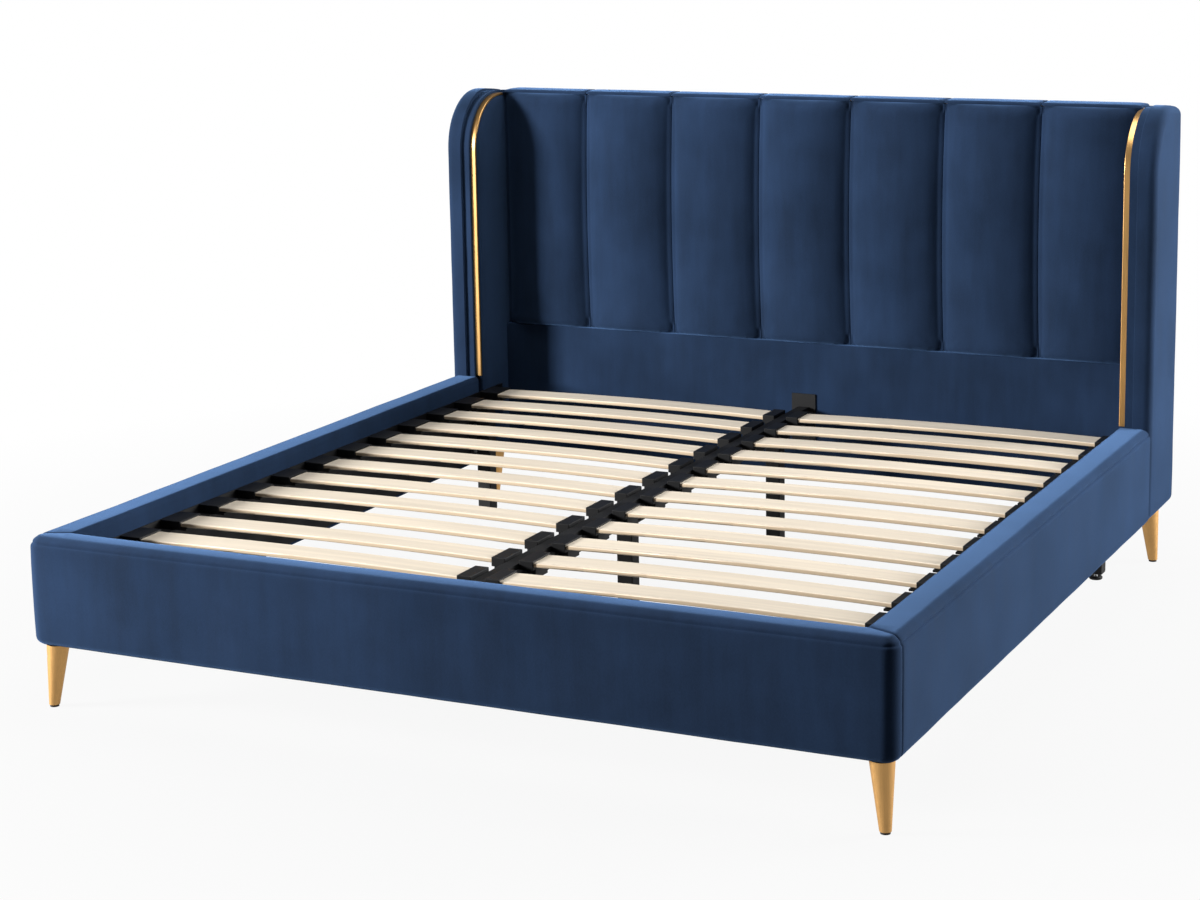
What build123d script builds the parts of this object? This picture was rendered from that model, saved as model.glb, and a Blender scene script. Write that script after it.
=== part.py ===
from build123d import *
import math
import os

os.makedirs("parts", exist_ok=True)

# All lengths are millimetres. X runs across the bed, Y from the foot to the headboard, Z up.
# The origin lies on the floor, under the centre of the bed's outline.

# Mattress well and overall outline
well_width = 1820.0
well_length = 2010.0
rail_thickness = 85.0
foot_thickness = 70.0
headboard_depth = 95.0
frame_bottom = 146.0
rail_height = 242.0
wing_depth = 262.0
wing_top = 1188.0
headboard_drop = 8.0

# Soft edges of the foot panel and rails
corner_radius = 32.0
top_outer_radius = 25.0
top_inner_radius = 12.0
bottom_outer_radius = 17.0
bottom_inner_radius = 6.0

# Corner seams between the foot panel and the rails
seam_turn = 14.0
seam_behind_corner = 3.0

# Timber inside the foot panel and rails
board_thickness = 36.0
side_padding = 17.0
top_padding = 24.0
bottom_padding = 18.0
end_padding = 20.0

# Black lining on the inner faces, set into the cover
lining_thickness = 2.0
lining_rise = 8.0
lining_below_slats = 12.0

# Headboard
channel_count = 7
lower_pad_reveal = 125.0
top_band_height = 8.0
channel_crown = 24.0
channel_seam_depth = 11.0
channel_edge_share = 0.16
channel_edge_rise_share = 0.72
channel_end_round = 30.0
channel_end_drop_share = 0.75
plywood_thickness = 12.0
headboard_timber = 45.0
back_cover_thickness = 3.0
lower_pad_thickness = 23.0
stile_offset = 300.0
middle_rail_drop = 33.0
top_band_overhang = 4.0
headboard_low_gap = 4.0
top_band_crown = 5.0

# Wings
wing_outer_pad = 47.0
wing_board = 21.0
wing_inner_pad = 17.0
wing_front_radius = 165.0
wing_outer_round = 28.0
wing_inner_round = 13.0
wing_low_round = 22.0
band_setback = 9.0
band_thickness = 24.0
band_round = 5.0
strip_setback = 17.0
strip_thickness = 6.0
strip_tail = 20.0
strip_round = 2.0
wing_block_length = 110.0
wing_block_height = 60.0
wing_block_width = 34.0

# Corner legs
leg_top_radius = 25.5
leg_low_radius = 12.0
leg_inset = 42.0
leg_splay = 11.0
rear_leg_inset = 89.0
leg_plate_thickness = 4.0
leg_plate_radius = 26.0
leg_bolt_radius = 4.0
leg_bolt_in_leg = 22.0
leg_bolt_in_frame = 52.0
glide_height = 5.0
glide_radius = 10.0
glide_pin_radius = 3.0
glide_pin_length = 12.0

# Slats
slat_count = 12
slat_foot_gap = 155.0
slat_head_gap = 86.0
slat_width = 75.0
slat_thickness = 10.0
slat_bow = 6.0
slat_edge_round = 3.0
slat_drop = 58.0
slat_fit = 0.3

# Slat caps
cap_length = 53.0
cap_width = 83.0
cap_floor = 5.0
cap_roof = 5.0
cap_gap = 4.0
cap_foot_length = 16.0
cap_foot_gap = 0.5
cap_wall = 4.0
cap_round = 1.5
cap_peg_radius = 4.0
cap_peg_length = 9.0
cap_peg_spacing = 50.0
centre_cap_length = 33.0
centre_cap_gap = 34.0
centre_skirt_depth = 22.0
centre_skirt_width = 56.0
centre_skirt_clearance = 0.5

# Side bearers, steel angles under the slat caps
bearer_thickness = 3.0
bearer_width = 42.0
bearer_drop = 40.0
bearer_front_gap = 20.0
bearer_rear_gap = 30.0
bearer_screw_count = 6
bearer_screw_front_gap = 80.0
bearer_screw_rear_gap = 40.0
bearer_screw_radius = 2.5
bearer_screw_length = 40.0
bearer_screw_drop = 24.0
bearer_screw_head_radius = 5.0
bearer_screw_head_height = 3.0

# Centre beam, a steel tube, and its brackets
beam_width = 60.0
beam_depth = 30.0
beam_wall = 2.5
beam_corner = 4.0
beam_rib_width = 30.0
beam_rib_height = 12.0
bracket_thickness = 4.0
bracket_width = 68.0
bracket_shelf = 45.0
foot_bracket_rise = 8.0
head_bracket_rise = 48.0
bracket_drop = 50.0
bracket_bolt_spacing = 40.0
bracket_bolt_drop = 26.0
shelf_bolt_length = 14.0

# Corner brackets at the foot and joining plates at the head
corner_plate_leg = 62.0
corner_plate_gap = 9.0
corner_plate_thickness = 4.0
corner_plate_rise = 20.0
joining_plate_length = 150.0
joining_plate_shift = 12.0
joint_bolt_margin = 20.0
joint_bolt_edge = 24.0

# Machine bolts through plates into timber
bolt_radius = 4.0
bolt_length = 42.0
bolt_head_radius = 6.5
bolt_head_height = 5.0
bolt_clearance = 0.3
wing_bolt_count = 3
wing_bolt_length = 68.0
wing_bolt_low_gap = 114.0
wing_bolt_high_gap = 128.0
wing_bolt_inset = 24.0

# Support legs with a levelling foot
support_tube = 40.0
support_wall = 2.0
support_corner = 3.0
support_plate = 64.0
support_plate_thickness = 4.0
support_bottom = 20.0
plug_depth = 22.0
plug_flange = 3.0
plug_corner = 5.0
levelling_radius = 5.0
levelling_clearance = 0.3
levelling_length = 66.0
collar_radius = 8.0
collar_height = 2.5
pad_radius = 17.0
pad_height = 8.0
pad_chamfer = 2.0
pad_floor = 2.5
support_screw_radius = 3.0
support_screw_length = 12.0
support_screw_spacing = 52.0
support_screw_head_radius = 5.0
support_screw_head_height = 2.5
side_support_offset = 38.0
side_screw_shift = 10.0
head_support_slat_count = 11
middle_support_slat_count = 5

# Cutting tools run past the faces that they cut
overrun = 5.0

# Two places agree when they differ by less than this share of the rail height
match_share = 0.001

# Places that follow from the sizes above
half_well = well_width / 2
half_width = half_well + rail_thickness
bed_length = foot_thickness + well_length + headboard_depth
foot_front = -bed_length / 2
foot_inner = foot_front + foot_thickness
cushion_front = foot_inner + well_length
bed_back = bed_length / 2
rail_top = frame_bottom + rail_height
headboard_top = wing_top - headboard_drop
channel_top = headboard_top - top_band_height
channel_bottom = rail_top + lower_pad_reveal
wing_front = bed_back - wing_depth
seam_line = cushion_front + channel_crown
plywood_front = seam_line + channel_seam_depth
timber_front = plywood_front + plywood_thickness
timber_back = bed_back - back_cover_thickness
headboard_low = frame_bottom + headboard_low_gap
middle_rail_low = channel_bottom - middle_rail_drop
slat_seat = rail_top - slat_drop
slat_run = well_length - slat_foot_gap - slat_width - slat_head_gap
slat_pitch = slat_run / (slat_count - 1)
lining_bottom = frame_bottom + lining_rise
lining_top = slat_seat - lining_below_slats
bearer_top = slat_seat - cap_floor
beam_top = bearer_top
corner_plate_bottom = frame_bottom + corner_plate_rise
corner_plate_top = bearer_top - bearer_drop - corner_plate_gap
side_screw_length = support_plate_thickness + bearer_thickness
board_face = half_well + wing_inner_pad
pad_face = board_face + wing_board
lower_pad_front = plywood_front - lower_pad_thickness


def block(x_low, x_high, y_low, y_high, z_low, z_high):
    """Rectangular block between two opposite corners."""
    low_corner = (Align.MIN, Align.MIN, Align.MIN)
    body = Box(x_high - x_low, y_high - y_low, z_high - z_low, align=low_corner)
    return Pos(x_low, y_low, z_low) * body


def rod(start, direction, length, radius):
    """Round bar from a start point along a direction."""
    bar = Cylinder(radius, length, align=(Align.CENTER, Align.CENTER, Align.MIN))
    return Plane(origin=start, z_dir=direction) * bar


def screw(start, direction, length, radius, head_radius, head_height):
    """Shank from the seat of the head along a direction, with the head behind the seat."""
    shank = rod(start, direction, length, radius)
    back = tuple(-part for part in direction)
    return shank + rod(start, back, head_height, head_radius)


def drilled(body, fasteners, radius, length):
    """Body with a clearance hole for each fastener given as (seat point, direction)."""
    for seat, direction in fasteners:
        start = tuple(place - overrun * part for place, part in zip(seat, direction))
        body = body - rod(start, direction, length + overrun, radius + bolt_clearance)
    return body


def mirrored(body):
    """The same piece on the other side of the bed."""
    return mirror(body, about=Plane.YZ)


def group(bodies):
    """Separate solids that share one node."""
    solids = []
    for body in bodies:
        solids.extend(body.solids())
    return Compound(children=solids)


def edges_at(body, test):
    """Edges of a body whose middle passes a test of X, Y, Z."""
    chosen = []
    for edge in body.edges():
        middle = edge.position_at(0.5)
        if test(middle.X, middle.Y, middle.Z):
            chosen.append(edge)
    return chosen


def near(value, target):
    """Whether two places agree."""
    return abs(value - target) < rail_height * match_share


# Foot panel and side rails


def frame_ring():
    """Foot panel and rails as one soft-edged body, open at the headboard end."""
    ring = block(-half_width, half_width, foot_front, wing_front, frame_bottom, rail_top)
    corners = edges_at(ring, lambda x, y, z: near(y, foot_front) and near(abs(x), half_width))
    ring = fillet(corners, corner_radius)
    top_edges = edges_at(ring, lambda x, y, z: near(z, rail_top) and not near(y, wing_front))
    ring = fillet(top_edges, top_outer_radius)
    low_edges = edges_at(ring, lambda x, y, z: near(z, frame_bottom) and not near(y, wing_front))
    ring = fillet(low_edges, bottom_outer_radius)
    well = block(
        -half_well, half_well, foot_inner, wing_front + overrun,
        frame_bottom - overrun, rail_top + overrun,
    )
    ring = ring - well

    def on_well(x, y):
        return near(abs(x), half_well) or (near(y, foot_inner) and abs(x) < half_well)

    top_edges = edges_at(ring, lambda x, y, z: near(z, rail_top) and on_well(x, y))
    ring = fillet(top_edges, top_inner_radius)
    low_edges = edges_at(ring, lambda x, y, z: near(z, frame_bottom) and on_well(x, y))
    return fillet(low_edges, bottom_inner_radius)


def foot_zone():
    """Plan of the foot panel's share of the ring, out to the corner seams."""
    seam_y = foot_front + corner_radius + seam_behind_corner
    beyond_x = half_width + overrun
    beyond_y = foot_front - overrun
    turn_x = half_well + seam_turn
    turn_y = foot_inner - seam_turn
    plan = Polyline(
        (-beyond_x, beyond_y), (beyond_x, beyond_y), (beyond_x, seam_y), (half_width, seam_y),
        (turn_x, turn_y), (half_well, foot_inner), (-half_well, foot_inner), (-turn_x, turn_y),
        (-half_width, seam_y), (-beyond_x, seam_y), close=True,
    )
    height = rail_height + 2 * overrun
    return Pos(0, 0, frame_bottom - overrun) * extrude(make_face(plan), amount=height)


def foot_board():
    """Timber board inside the foot panel."""
    reach = half_width - end_padding
    return block(
        -reach, reach, foot_front + side_padding, foot_front + side_padding + board_thickness,
        frame_bottom + bottom_padding, rail_top - top_padding,
    )


def rail_board():
    """Timber board inside the right-hand rail."""
    outer = half_width - (rail_thickness - board_thickness) / 2
    return block(
        outer - board_thickness, outer, foot_inner, wing_front - end_padding,
        frame_bottom + bottom_padding, rail_top - top_padding,
    )


def foot_lining():
    """Black lining on the foot panel's inner face."""
    return block(
        -half_well, half_well, foot_inner - lining_thickness, foot_inner,
        lining_bottom, lining_top,
    )


def rail_lining():
    """Black lining on the right-hand rail's inner face."""
    return block(
        half_well, half_well + lining_thickness, foot_inner, wing_front,
        lining_bottom, lining_top,
    )


# Fasteners of the frame, each a seat point and a direction into the timber


def joint_bolt_heights():
    """Two bolt heights on the corner and joining plates."""
    return (corner_plate_bottom + joint_bolt_margin, corner_plate_top - joint_bolt_margin)


def foot_corner_bolts():
    """Bolts of the right-hand foot bracket that enter the foot board."""
    seat_x = half_well - corner_plate_leg + joint_bolt_edge
    seat_y = foot_inner + corner_plate_thickness
    rows = joint_bolt_heights()
    return [((seat_x, seat_y, z), (0, -1, 0)) for z in rows]


def rail_corner_bolts():
    """Bolts of the right-hand foot bracket that enter the rail board."""
    seat_x = half_well - corner_plate_thickness
    seat_y = foot_inner + corner_plate_leg - joint_bolt_edge
    rows = joint_bolt_heights()
    return [((seat_x, seat_y, z), (1, 0, 0)) for z in rows]


def joining_plate_ends():
    """Front and rear ends of the joining plate at the head of the rail."""
    middle = wing_front + joining_plate_shift
    return (middle - joining_plate_length / 2, middle + joining_plate_length / 2)


def rail_joining_bolts():
    """Bolts of the right-hand joining plate that enter the rail board."""
    seat_x = half_well - corner_plate_thickness
    front, _ = joining_plate_ends()
    rows = joint_bolt_heights()
    return [((seat_x, front + joint_bolt_edge, z), (1, 0, 0)) for z in rows]


def wing_joining_bolts():
    """Bolts of the right-hand joining plate that enter the wing board."""
    seat_x = half_well - corner_plate_thickness
    _, rear = joining_plate_ends()
    rows = joint_bolt_heights()
    return [((seat_x, rear - joint_bolt_edge, z), (1, 0, 0)) for z in rows]


def bearer_span():
    """Front and rear ends of a side bearer."""
    return (foot_inner + bearer_front_gap, cushion_front - bearer_rear_gap)


def bearer_screws():
    """Screws of the right-hand bearer, spread over the length of the rail board."""
    first = foot_inner + bearer_screw_front_gap
    last = wing_front - end_padding - bearer_screw_rear_gap
    seat_x = half_well - bearer_thickness
    seat_z = bearer_top - bearer_screw_drop
    step = (last - first) / (bearer_screw_count - 1)
    places = [first + step * index for index in range(bearer_screw_count)]
    return [((seat_x, y, seat_z), (1, 0, 0)) for y in places]


def bracket_bolt_rows():
    """Cross positions of the two bolts of a beam bracket."""
    return (-bracket_bolt_spacing / 2, bracket_bolt_spacing / 2)


def foot_bracket_bolts():
    """Bolts of the beam's foot bracket."""
    seat_y = foot_inner + bracket_thickness
    seat_z = beam_top - beam_depth - bracket_bolt_drop
    return [((x, seat_y, seat_z), (0, -1, 0)) for x in bracket_bolt_rows()]


def head_bracket_bolts():
    """Bolts of the beam's head bracket."""
    seat_y = lower_pad_front - bracket_thickness
    seat_z = beam_top - beam_depth - bracket_bolt_drop
    return [((x, seat_y, seat_z), (0, 1, 0)) for x in bracket_bolt_rows()]


def leg_tops():
    """Centres of the four leg tops, with the way each leg splays."""
    front = foot_front + leg_inset
    rear = bed_back - rear_leg_inset
    side = half_width - leg_inset
    return [
        (-side, front, -1, -1), (side, front, 1, -1),
        (-side, rear, -1, 1), (side, rear, 1, 1),
    ]


def leg_bolt_rods(radius):
    """Hanger bolts that join the legs to the timber above."""
    bottom = frame_bottom - leg_plate_thickness - leg_bolt_in_leg
    length = leg_bolt_in_leg + leg_plate_thickness + leg_bolt_in_frame
    return [rod((x, y, bottom), (0, 0, 1), length, radius) for x, y, _, _ in leg_tops()]


def cut_by(body, tools):
    """Body with several tools taken away."""
    for tool in tools:
        body = body - tool
    return body


def both_sides(fasteners):
    """Right-hand fasteners together with their left-hand twins."""
    twins = [((-s[0], s[1], s[2]), (-d[0], d[1], d[2])) for s, d in fasteners]
    return fasteners + twins


def joint_bolts():
    """Every machine bolt between brackets and timber."""
    side_bolts = foot_corner_bolts() + rail_corner_bolts()
    side_bolts = side_bolts + rail_joining_bolts() + wing_joining_bolts()
    return both_sides(side_bolts)


def foot_and_rails():
    """Covers, boards and linings of the foot panel and the two rails."""
    right_board = rail_board()
    left_board = mirrored(right_board)
    linings = [foot_lining(), rail_lining(), mirrored(rail_lining())]
    ring = cut_by(frame_ring(), [foot_board(), right_board, left_board] + linings)
    hole_tools = leg_bolt_rods(leg_bolt_radius + bolt_clearance)
    ring = cut_by(ring, hole_tools)
    foot = cut_by(foot_board(), hole_tools)
    beam_bolts = foot_bracket_bolts()
    screws = both_sides(bearer_screws())
    bolts = joint_bolts()
    ring = drilled(ring, bolts + beam_bolts, bolt_radius, bolt_length)
    ring = drilled(ring, screws, bearer_screw_radius, bearer_screw_length)
    foot = drilled(foot, both_sides(foot_corner_bolts()) + beam_bolts, bolt_radius, bolt_length)
    right_board = drilled(
        right_board, rail_corner_bolts() + rail_joining_bolts(), bolt_radius, bolt_length)
    right_board = drilled(
        right_board, bearer_screws(), bearer_screw_radius, bearer_screw_length)
    linings = [drilled(item, bolts + beam_bolts, bolt_radius, bolt_length) for item in linings]
    linings = [
        drilled(item, screws, bearer_screw_radius, bearer_screw_length) for item in linings]
    foot_cover = ring & foot_zone()
    rails = (ring - foot_zone()).solids().sort_by(Axis.X)
    return {
        "foot_panel_frame": foot,
        "foot_panel_cover": foot_cover,
        "rail_right_frame": right_board,
        "rail_left_frame": mirrored(right_board),
        "rail_right_cover": rails[-1],
        "rail_left_cover": rails[0],
        "inner_linings": group(linings),
    }


# Headboard


def channel_plan():
    """Plan of one padded channel: deep seams at both sides and a shallow crown between."""
    half = well_width / channel_count / 2
    shoulder = half * (1 - 2 * channel_edge_share)
    shoulder_y = seam_line - channel_crown * channel_edge_rise_share
    crown = ThreePointArc((-shoulder, shoulder_y), (0, cushion_front), (shoulder, shoulder_y))
    right = TangentArc(crown @ 1, (half, seam_line), tangent=crown % 1)
    left = TangentArc(crown @ 0, (-half, seam_line), tangent=-(crown % 0))
    back = Polyline(
        (-half, seam_line), (-half, plywood_front), (half, plywood_front), (half, seam_line))
    return make_face(left + crown + right + back)


def round_ended(depth_front, depth_back, bottom, top, end_round, reach):
    """Bar across the bed whose front edges are rounded at the top and the bottom."""
    middle = end_round * (1 - math.sqrt(0.5))
    depth = depth_back - depth_front
    low_arc = ThreePointArc(
        (-reach, depth_back, bottom),
        (-reach, depth_front + depth * middle / end_round, bottom + middle),
        (-reach, depth_front, bottom + end_round),
    )
    high_arc = ThreePointArc(
        (-reach, depth_front, top - end_round),
        (-reach, depth_front + depth * middle / end_round, top - middle),
        (-reach, depth_back, top),
    )
    front = Line(low_arc @ 1, high_arc @ 0)
    rear = Polyline(
        high_arc @ 1, (-reach, plywood_front, top), (-reach, plywood_front, bottom),
        low_arc @ 0,
    )
    return extrude(make_face(low_arc + front + high_arc + rear), amount=2 * reach, dir=(1, 0, 0))


def headboard_channels():
    """Padded vertical channels of the headboard, each a separate cushion."""
    width = well_width / channel_count
    prism = extrude(channel_plan(), amount=channel_top - channel_bottom)
    prism = Pos(0, 0, channel_bottom) * prism
    depth_front = cushion_front - (seam_line - cushion_front) * channel_end_drop_share
    ends = round_ended(
        depth_front, seam_line, channel_bottom, channel_top, channel_end_round, width)
    cushion = prism & ends
    first = -well_width / 2 + width / 2
    return [Pos(first + width * index, 0, 0) * cushion for index in range(channel_count)]


def lower_pad():
    """Plain padded panel below the channels."""
    pad = block(
        -half_well, half_well, lower_pad_front, plywood_front, headboard_low, channel_bottom)
    lip = edges_at(pad, lambda x, y, z: near(y, lower_pad_front) and near(z, channel_bottom))
    pad = fillet(lip, (seam_line - lower_pad_front) * channel_edge_rise_share)
    return drilled(pad, head_bracket_bolts(), bolt_radius, bolt_length)


def plywood_face():
    """Plywood face that carries the channels and the lower panel."""
    face = block(
        -half_well, half_well, plywood_front, timber_front, headboard_low, channel_top)
    return drilled(face, head_bracket_bolts(), bolt_radius, bolt_length)


def wing_bolts():
    """Seats and directions of the bolts from the right wing into the headboard's post."""
    low = frame_bottom + wing_bolt_low_gap
    high = wing_top - wing_bolt_high_gap
    step = (high - low) / (wing_bolt_count - 1)
    seat_y = timber_front + wing_bolt_inset
    rows = [low + step * index for index in range(wing_bolt_count)]
    return [((pad_face, seat_y, z), (-1, 0, 0)) for z in rows]


def headboard_timbers():
    """Posts, stiles and rails of the headboard's frame, as (x low, x high, z low, z high)."""
    wood = headboard_timber
    low = headboard_low
    beam_row = beam_top - beam_depth - bracket_bolt_drop
    rail_rows = (beam_row - wood / 2, middle_rail_low, channel_top - wood)
    post_x = half_well - wood
    upright_x = (-half_well, -stile_offset - wood / 2, stile_offset - wood / 2, post_x)
    pieces = [(x, x + wood, low, channel_top) for x in upright_x]
    for z in rail_rows:
        for start, end in zip(upright_x, upright_x[1:]):
            pieces.append((start + wood, end, z, z + wood))
    return pieces


def headboard_frame():
    """Timber frame behind the plywood."""
    timbers = [
        block(x_low, x_high, timber_front, timber_back, z_low, z_high)
        for x_low, x_high, z_low, z_high in headboard_timbers()
    ]
    bolts = both_sides(wing_bolts())
    timbers = [drilled(item, bolts, bolt_radius, wing_bolt_length) for item in timbers]
    return [drilled(item, head_bracket_bolts(), bolt_radius, bolt_length) for item in timbers]


def back_cover():
    """Plain cover over the back of the headboard and the wing boards."""
    return block(-pad_face, pad_face, timber_back, bed_back, headboard_low, channel_top)


def top_band():
    """Boxed band along the top of the headboard."""
    front = seam_line - top_band_overhang
    shoulder = headboard_top - top_band_crown
    turn = shoulder - channel_top
    middle = turn * (1 - math.sqrt(0.5))
    front_arc = ThreePointArc(
        (-half_well, front, channel_top), (-half_well, front + middle, shoulder - middle),
        (-half_well, front + turn, shoulder),
    )
    crown = ThreePointArc(
        (-half_well, front + turn, shoulder),
        (-half_well, (front + bed_back) / 2, headboard_top),
        (-half_well, bed_back - turn, shoulder),
    )
    back_arc = ThreePointArc(
        (-half_well, bed_back - turn, shoulder),
        (-half_well, bed_back - middle, shoulder - middle),
        (-half_well, bed_back, channel_top),
    )
    base = Line(back_arc @ 1, front_arc @ 0)
    profile = make_face(front_arc + crown + back_arc + base)
    return extrude(profile, amount=well_width, dir=(1, 0, 0))


# Wings


def wing_slab(x_low, x_high, inset, back, bottom):
    """Slab with the wing's side outline: upright front, large round and flat top."""
    front = wing_front + inset
    top = wing_top - inset
    radius = wing_front_radius - inset
    middle = radius * (1 - math.sqrt(0.5))
    turn = ThreePointArc(
        (x_low, front, top - radius), (x_low, front + middle, top - middle),
        (x_low, front + radius, top),
    )
    rest = Polyline(
        turn @ 1, (x_low, back, top), (x_low, back, bottom), (x_low, front, bottom), turn @ 0)
    return extrude(make_face(turn + rest), amount=x_high - x_low, dir=(1, 0, 0))


def outer_edges(body, x, with_ends):
    """Edges of a slab that lie in one upright plane, with or without back and bottom."""
    chosen = []
    for edge in body.edges():
        box = edge.bounding_box()
        if not (near(box.min.X, x) and near(box.max.X, x)):
            continue
        at_back = near(box.min.Y, body.bounding_box().max.Y)
        at_bottom = near(box.max.Z, body.bounding_box().min.Z)
        if with_ends or not (at_back or at_bottom):
            chosen.append(edge)
    return chosen


def wing_block():
    """Timber block in the foot of the wing that takes the leg bolt."""
    middle = bed_back - rear_leg_inset
    return block(
        pad_face, pad_face + wing_block_width,
        middle - wing_block_length / 2, middle + wing_block_length / 2,
        frame_bottom + bottom_padding, frame_bottom + bottom_padding + wing_block_height,
    )


def wing_outer_pad():
    """Soft pad that wraps the wing's outer side, front and top."""
    pad = wing_slab(pad_face, half_width, 0, bed_back, frame_bottom)
    low_corners = edges_at(
        pad, lambda x, y, z: near(z, frame_bottom) and (near(y, bed_back) or near(y, wing_front)))
    pad = fillet(low_corners, wing_low_round)
    high_corner = edges_at(pad, lambda x, y, z: near(z, wing_top) and near(y, bed_back))
    pad = fillet(high_corner, wing_low_round)
    pad = fillet(outer_edges(pad, half_width, True), wing_outer_round)
    pad = fillet(outer_edges(pad, pad_face, False), wing_inner_round)
    return pad


def wing_front_band():
    """Narrow padded band on the wing's front and top, between outer pad and strip."""
    band = wing_slab(
        board_face, pad_face, band_setback, timber_back, frame_bottom + band_setback)
    band = fillet(outer_edges(band, board_face, False), band_round)
    band = fillet(outer_edges(band, pad_face, False), band_round)
    core = wing_slab(
        board_face - overrun, pad_face + overrun, band_setback + band_thickness,
        timber_back + overrun, frame_bottom - overrun,
    )
    return band - core


def wing_strip():
    """Flat metal strip up the wing's inner front edge and back to the headboard's top."""
    tail = cushion_front + strip_tail
    strip = wing_slab(half_well, board_face, strip_setback, tail, rail_top)
    strip = fillet(outer_edges(strip, half_well, False), strip_round)
    strip = fillet(outer_edges(strip, board_face, False), strip_round)
    core = wing_slab(
        half_well - overrun, board_face + overrun, strip_setback + strip_thickness,
        tail + overrun, rail_top - overrun,
    )
    return strip - core


def right_wing():
    """Pieces of the right-hand wing by the end of their names."""
    seat_holes = wing_bolts()
    joints = wing_joining_bolts()
    low = frame_bottom + band_setback
    block_piece = wing_block()
    board = wing_slab(
        board_face, pad_face, band_setback + band_thickness, timber_back, low)
    strip = wing_strip()
    inner = wing_slab(half_well, board_face, strip_setback, timber_back, low) - strip
    outer = wing_outer_pad() - block_piece
    leg_holes = leg_bolt_rods(leg_bolt_radius + bolt_clearance)
    outer = cut_by(outer, leg_holes)
    block_piece = cut_by(block_piece, leg_holes)
    board = drilled(board, seat_holes, bolt_radius, wing_bolt_length)
    inner = drilled(inner, seat_holes, bolt_radius, wing_bolt_length)
    board = drilled(board, joints, bolt_radius, bolt_length)
    inner = drilled(inner, joints, bolt_radius, bolt_length)
    for seat, _ in seat_holes:
        outer = outer - rod(
            seat, (1, 0, 0), bolt_head_height + bolt_clearance, bolt_head_radius + bolt_clearance)
    return {
        "frame": group([board, block_piece]),
        "outer_pad": outer,
        "inner_pad": inner,
        "front_band": wing_front_band(),
        "gold_strip": strip,
    }


# Corner legs


def leg_low_point(x, y, way_x, way_y):
    """Centre of a leg's lower end in plan."""
    return (x + way_x * leg_splay, y + way_y * leg_splay)


def corner_legs():
    """Four tapered legs that lean outwards, in the order of leg_tops."""
    top_z = frame_bottom - leg_plate_thickness
    legs = []
    for x, y, way_x, way_y in leg_tops():
        low_x, low_y = leg_low_point(x, y, way_x, way_y)
        low = Pos(low_x, low_y, glide_height) * Circle(leg_low_radius)
        high = Pos(x, y, top_z) * Circle(leg_top_radius)
        leg = loft([low, high], ruled=True)
        leg = leg - rod(
            (x, y, top_z - leg_bolt_in_leg), (0, 0, 1), leg_bolt_in_leg + overrun,
            leg_bolt_radius + bolt_clearance,
        )
        leg = leg - rod(
            (low_x, low_y, glide_height - overrun), (0, 0, 1),
            glide_pin_length + overrun, glide_pin_radius,
        )
        legs.append(leg)
    return legs


def leg_plates():
    """Round steel plates between the legs and the frame."""
    bottom = frame_bottom - leg_plate_thickness
    plates = []
    for x, y, _, _ in leg_tops():
        plate = rod((x, y, bottom), (0, 0, 1), leg_plate_thickness, leg_plate_radius)
        hole_start = (x, y, bottom - overrun)
        length = leg_plate_thickness + 2 * overrun
        plates.append(plate - rod(hole_start, (0, 0, 1), length, leg_bolt_radius + bolt_clearance))
    return plates


def leg_glides():
    """Small dark glides pressed into the legs' lower ends."""
    glides = []
    for x, y, way_x, way_y in leg_tops():
        low_x, low_y = leg_low_point(x, y, way_x, way_y)
        foot = rod((low_x, low_y, 0), (0, 0, 1), glide_height, glide_radius)
        pin = rod((low_x, low_y, 0), (0, 0, 1), glide_height + glide_pin_length, glide_pin_radius)
        glides.append(foot + pin)
    return glides


# Slats, caps, bearers and beam


def slat_rows():
    """Front edge of each slat."""
    first = foot_inner + slat_foot_gap
    return [first + slat_pitch * index for index in range(slat_count)]


def slat_span():
    """Inner and outer ends of a right-hand slat."""
    inner = centre_cap_gap / 2 + cap_wall
    outer = half_well - cap_gap - cap_wall
    return (inner, outer)


def slat_body(fit):
    """Bowed slat with its front edge at Y zero, grown all round by a fit."""
    inner, outer = slat_span()
    inner = inner - fit
    outer = outer + fit
    low = slat_seat - fit
    high = slat_seat + slat_thickness + fit
    middle = (inner + outer) / 2
    below = ThreePointArc((inner, -fit, low), (middle, -fit, low + slat_bow), (outer, -fit, low))
    above = ThreePointArc(
        (inner, -fit, high), (middle, -fit, high + slat_bow), (outer, -fit, high))
    sides = Line(below @ 0, above @ 0) + Line(below @ 1, above @ 1)
    return extrude(make_face(below + sides + above), amount=slat_width + 2 * fit, dir=(0, 1, 0))


def slat():
    """Bowed slat with eased long edges."""
    body = slat_body(0)
    inner, outer = slat_span()
    long_edges = [edge for edge in body.edges() if edge.length > (outer - inner) / 2]
    return fillet(long_edges, slat_edge_round)


def repeated(body):
    """One copy of a piece at every slat."""
    return [Pos(0, y, 0) * body for y in slat_rows()]


def cap_pegs(x):
    """Two pegs below a cap, for a slat whose front edge is at Y zero."""
    middle = slat_width / 2
    rows = (middle - cap_peg_spacing / 2, middle + cap_peg_spacing / 2)
    start_z = bearer_top - cap_peg_length
    return [(x, y, start_z) for y in rows]


def cap_shell(x_low, x_high):
    """Cap body round a slat's end, before its pegs."""
    side = (cap_width - slat_width) / 2
    shell = block(
        x_low, x_high, -side, slat_width + side, bearer_top,
        slat_seat + slat_thickness + cap_roof,
    )
    shell = fillet(shell.edges().filter_by(Axis.Z) + shell.edges().group_by(Axis.Z)[-1], cap_round)
    return shell


def side_peg_x():
    """Middle of the bearer's flat, where the side caps' pegs go in."""
    return half_well - bearer_width / 2


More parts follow.
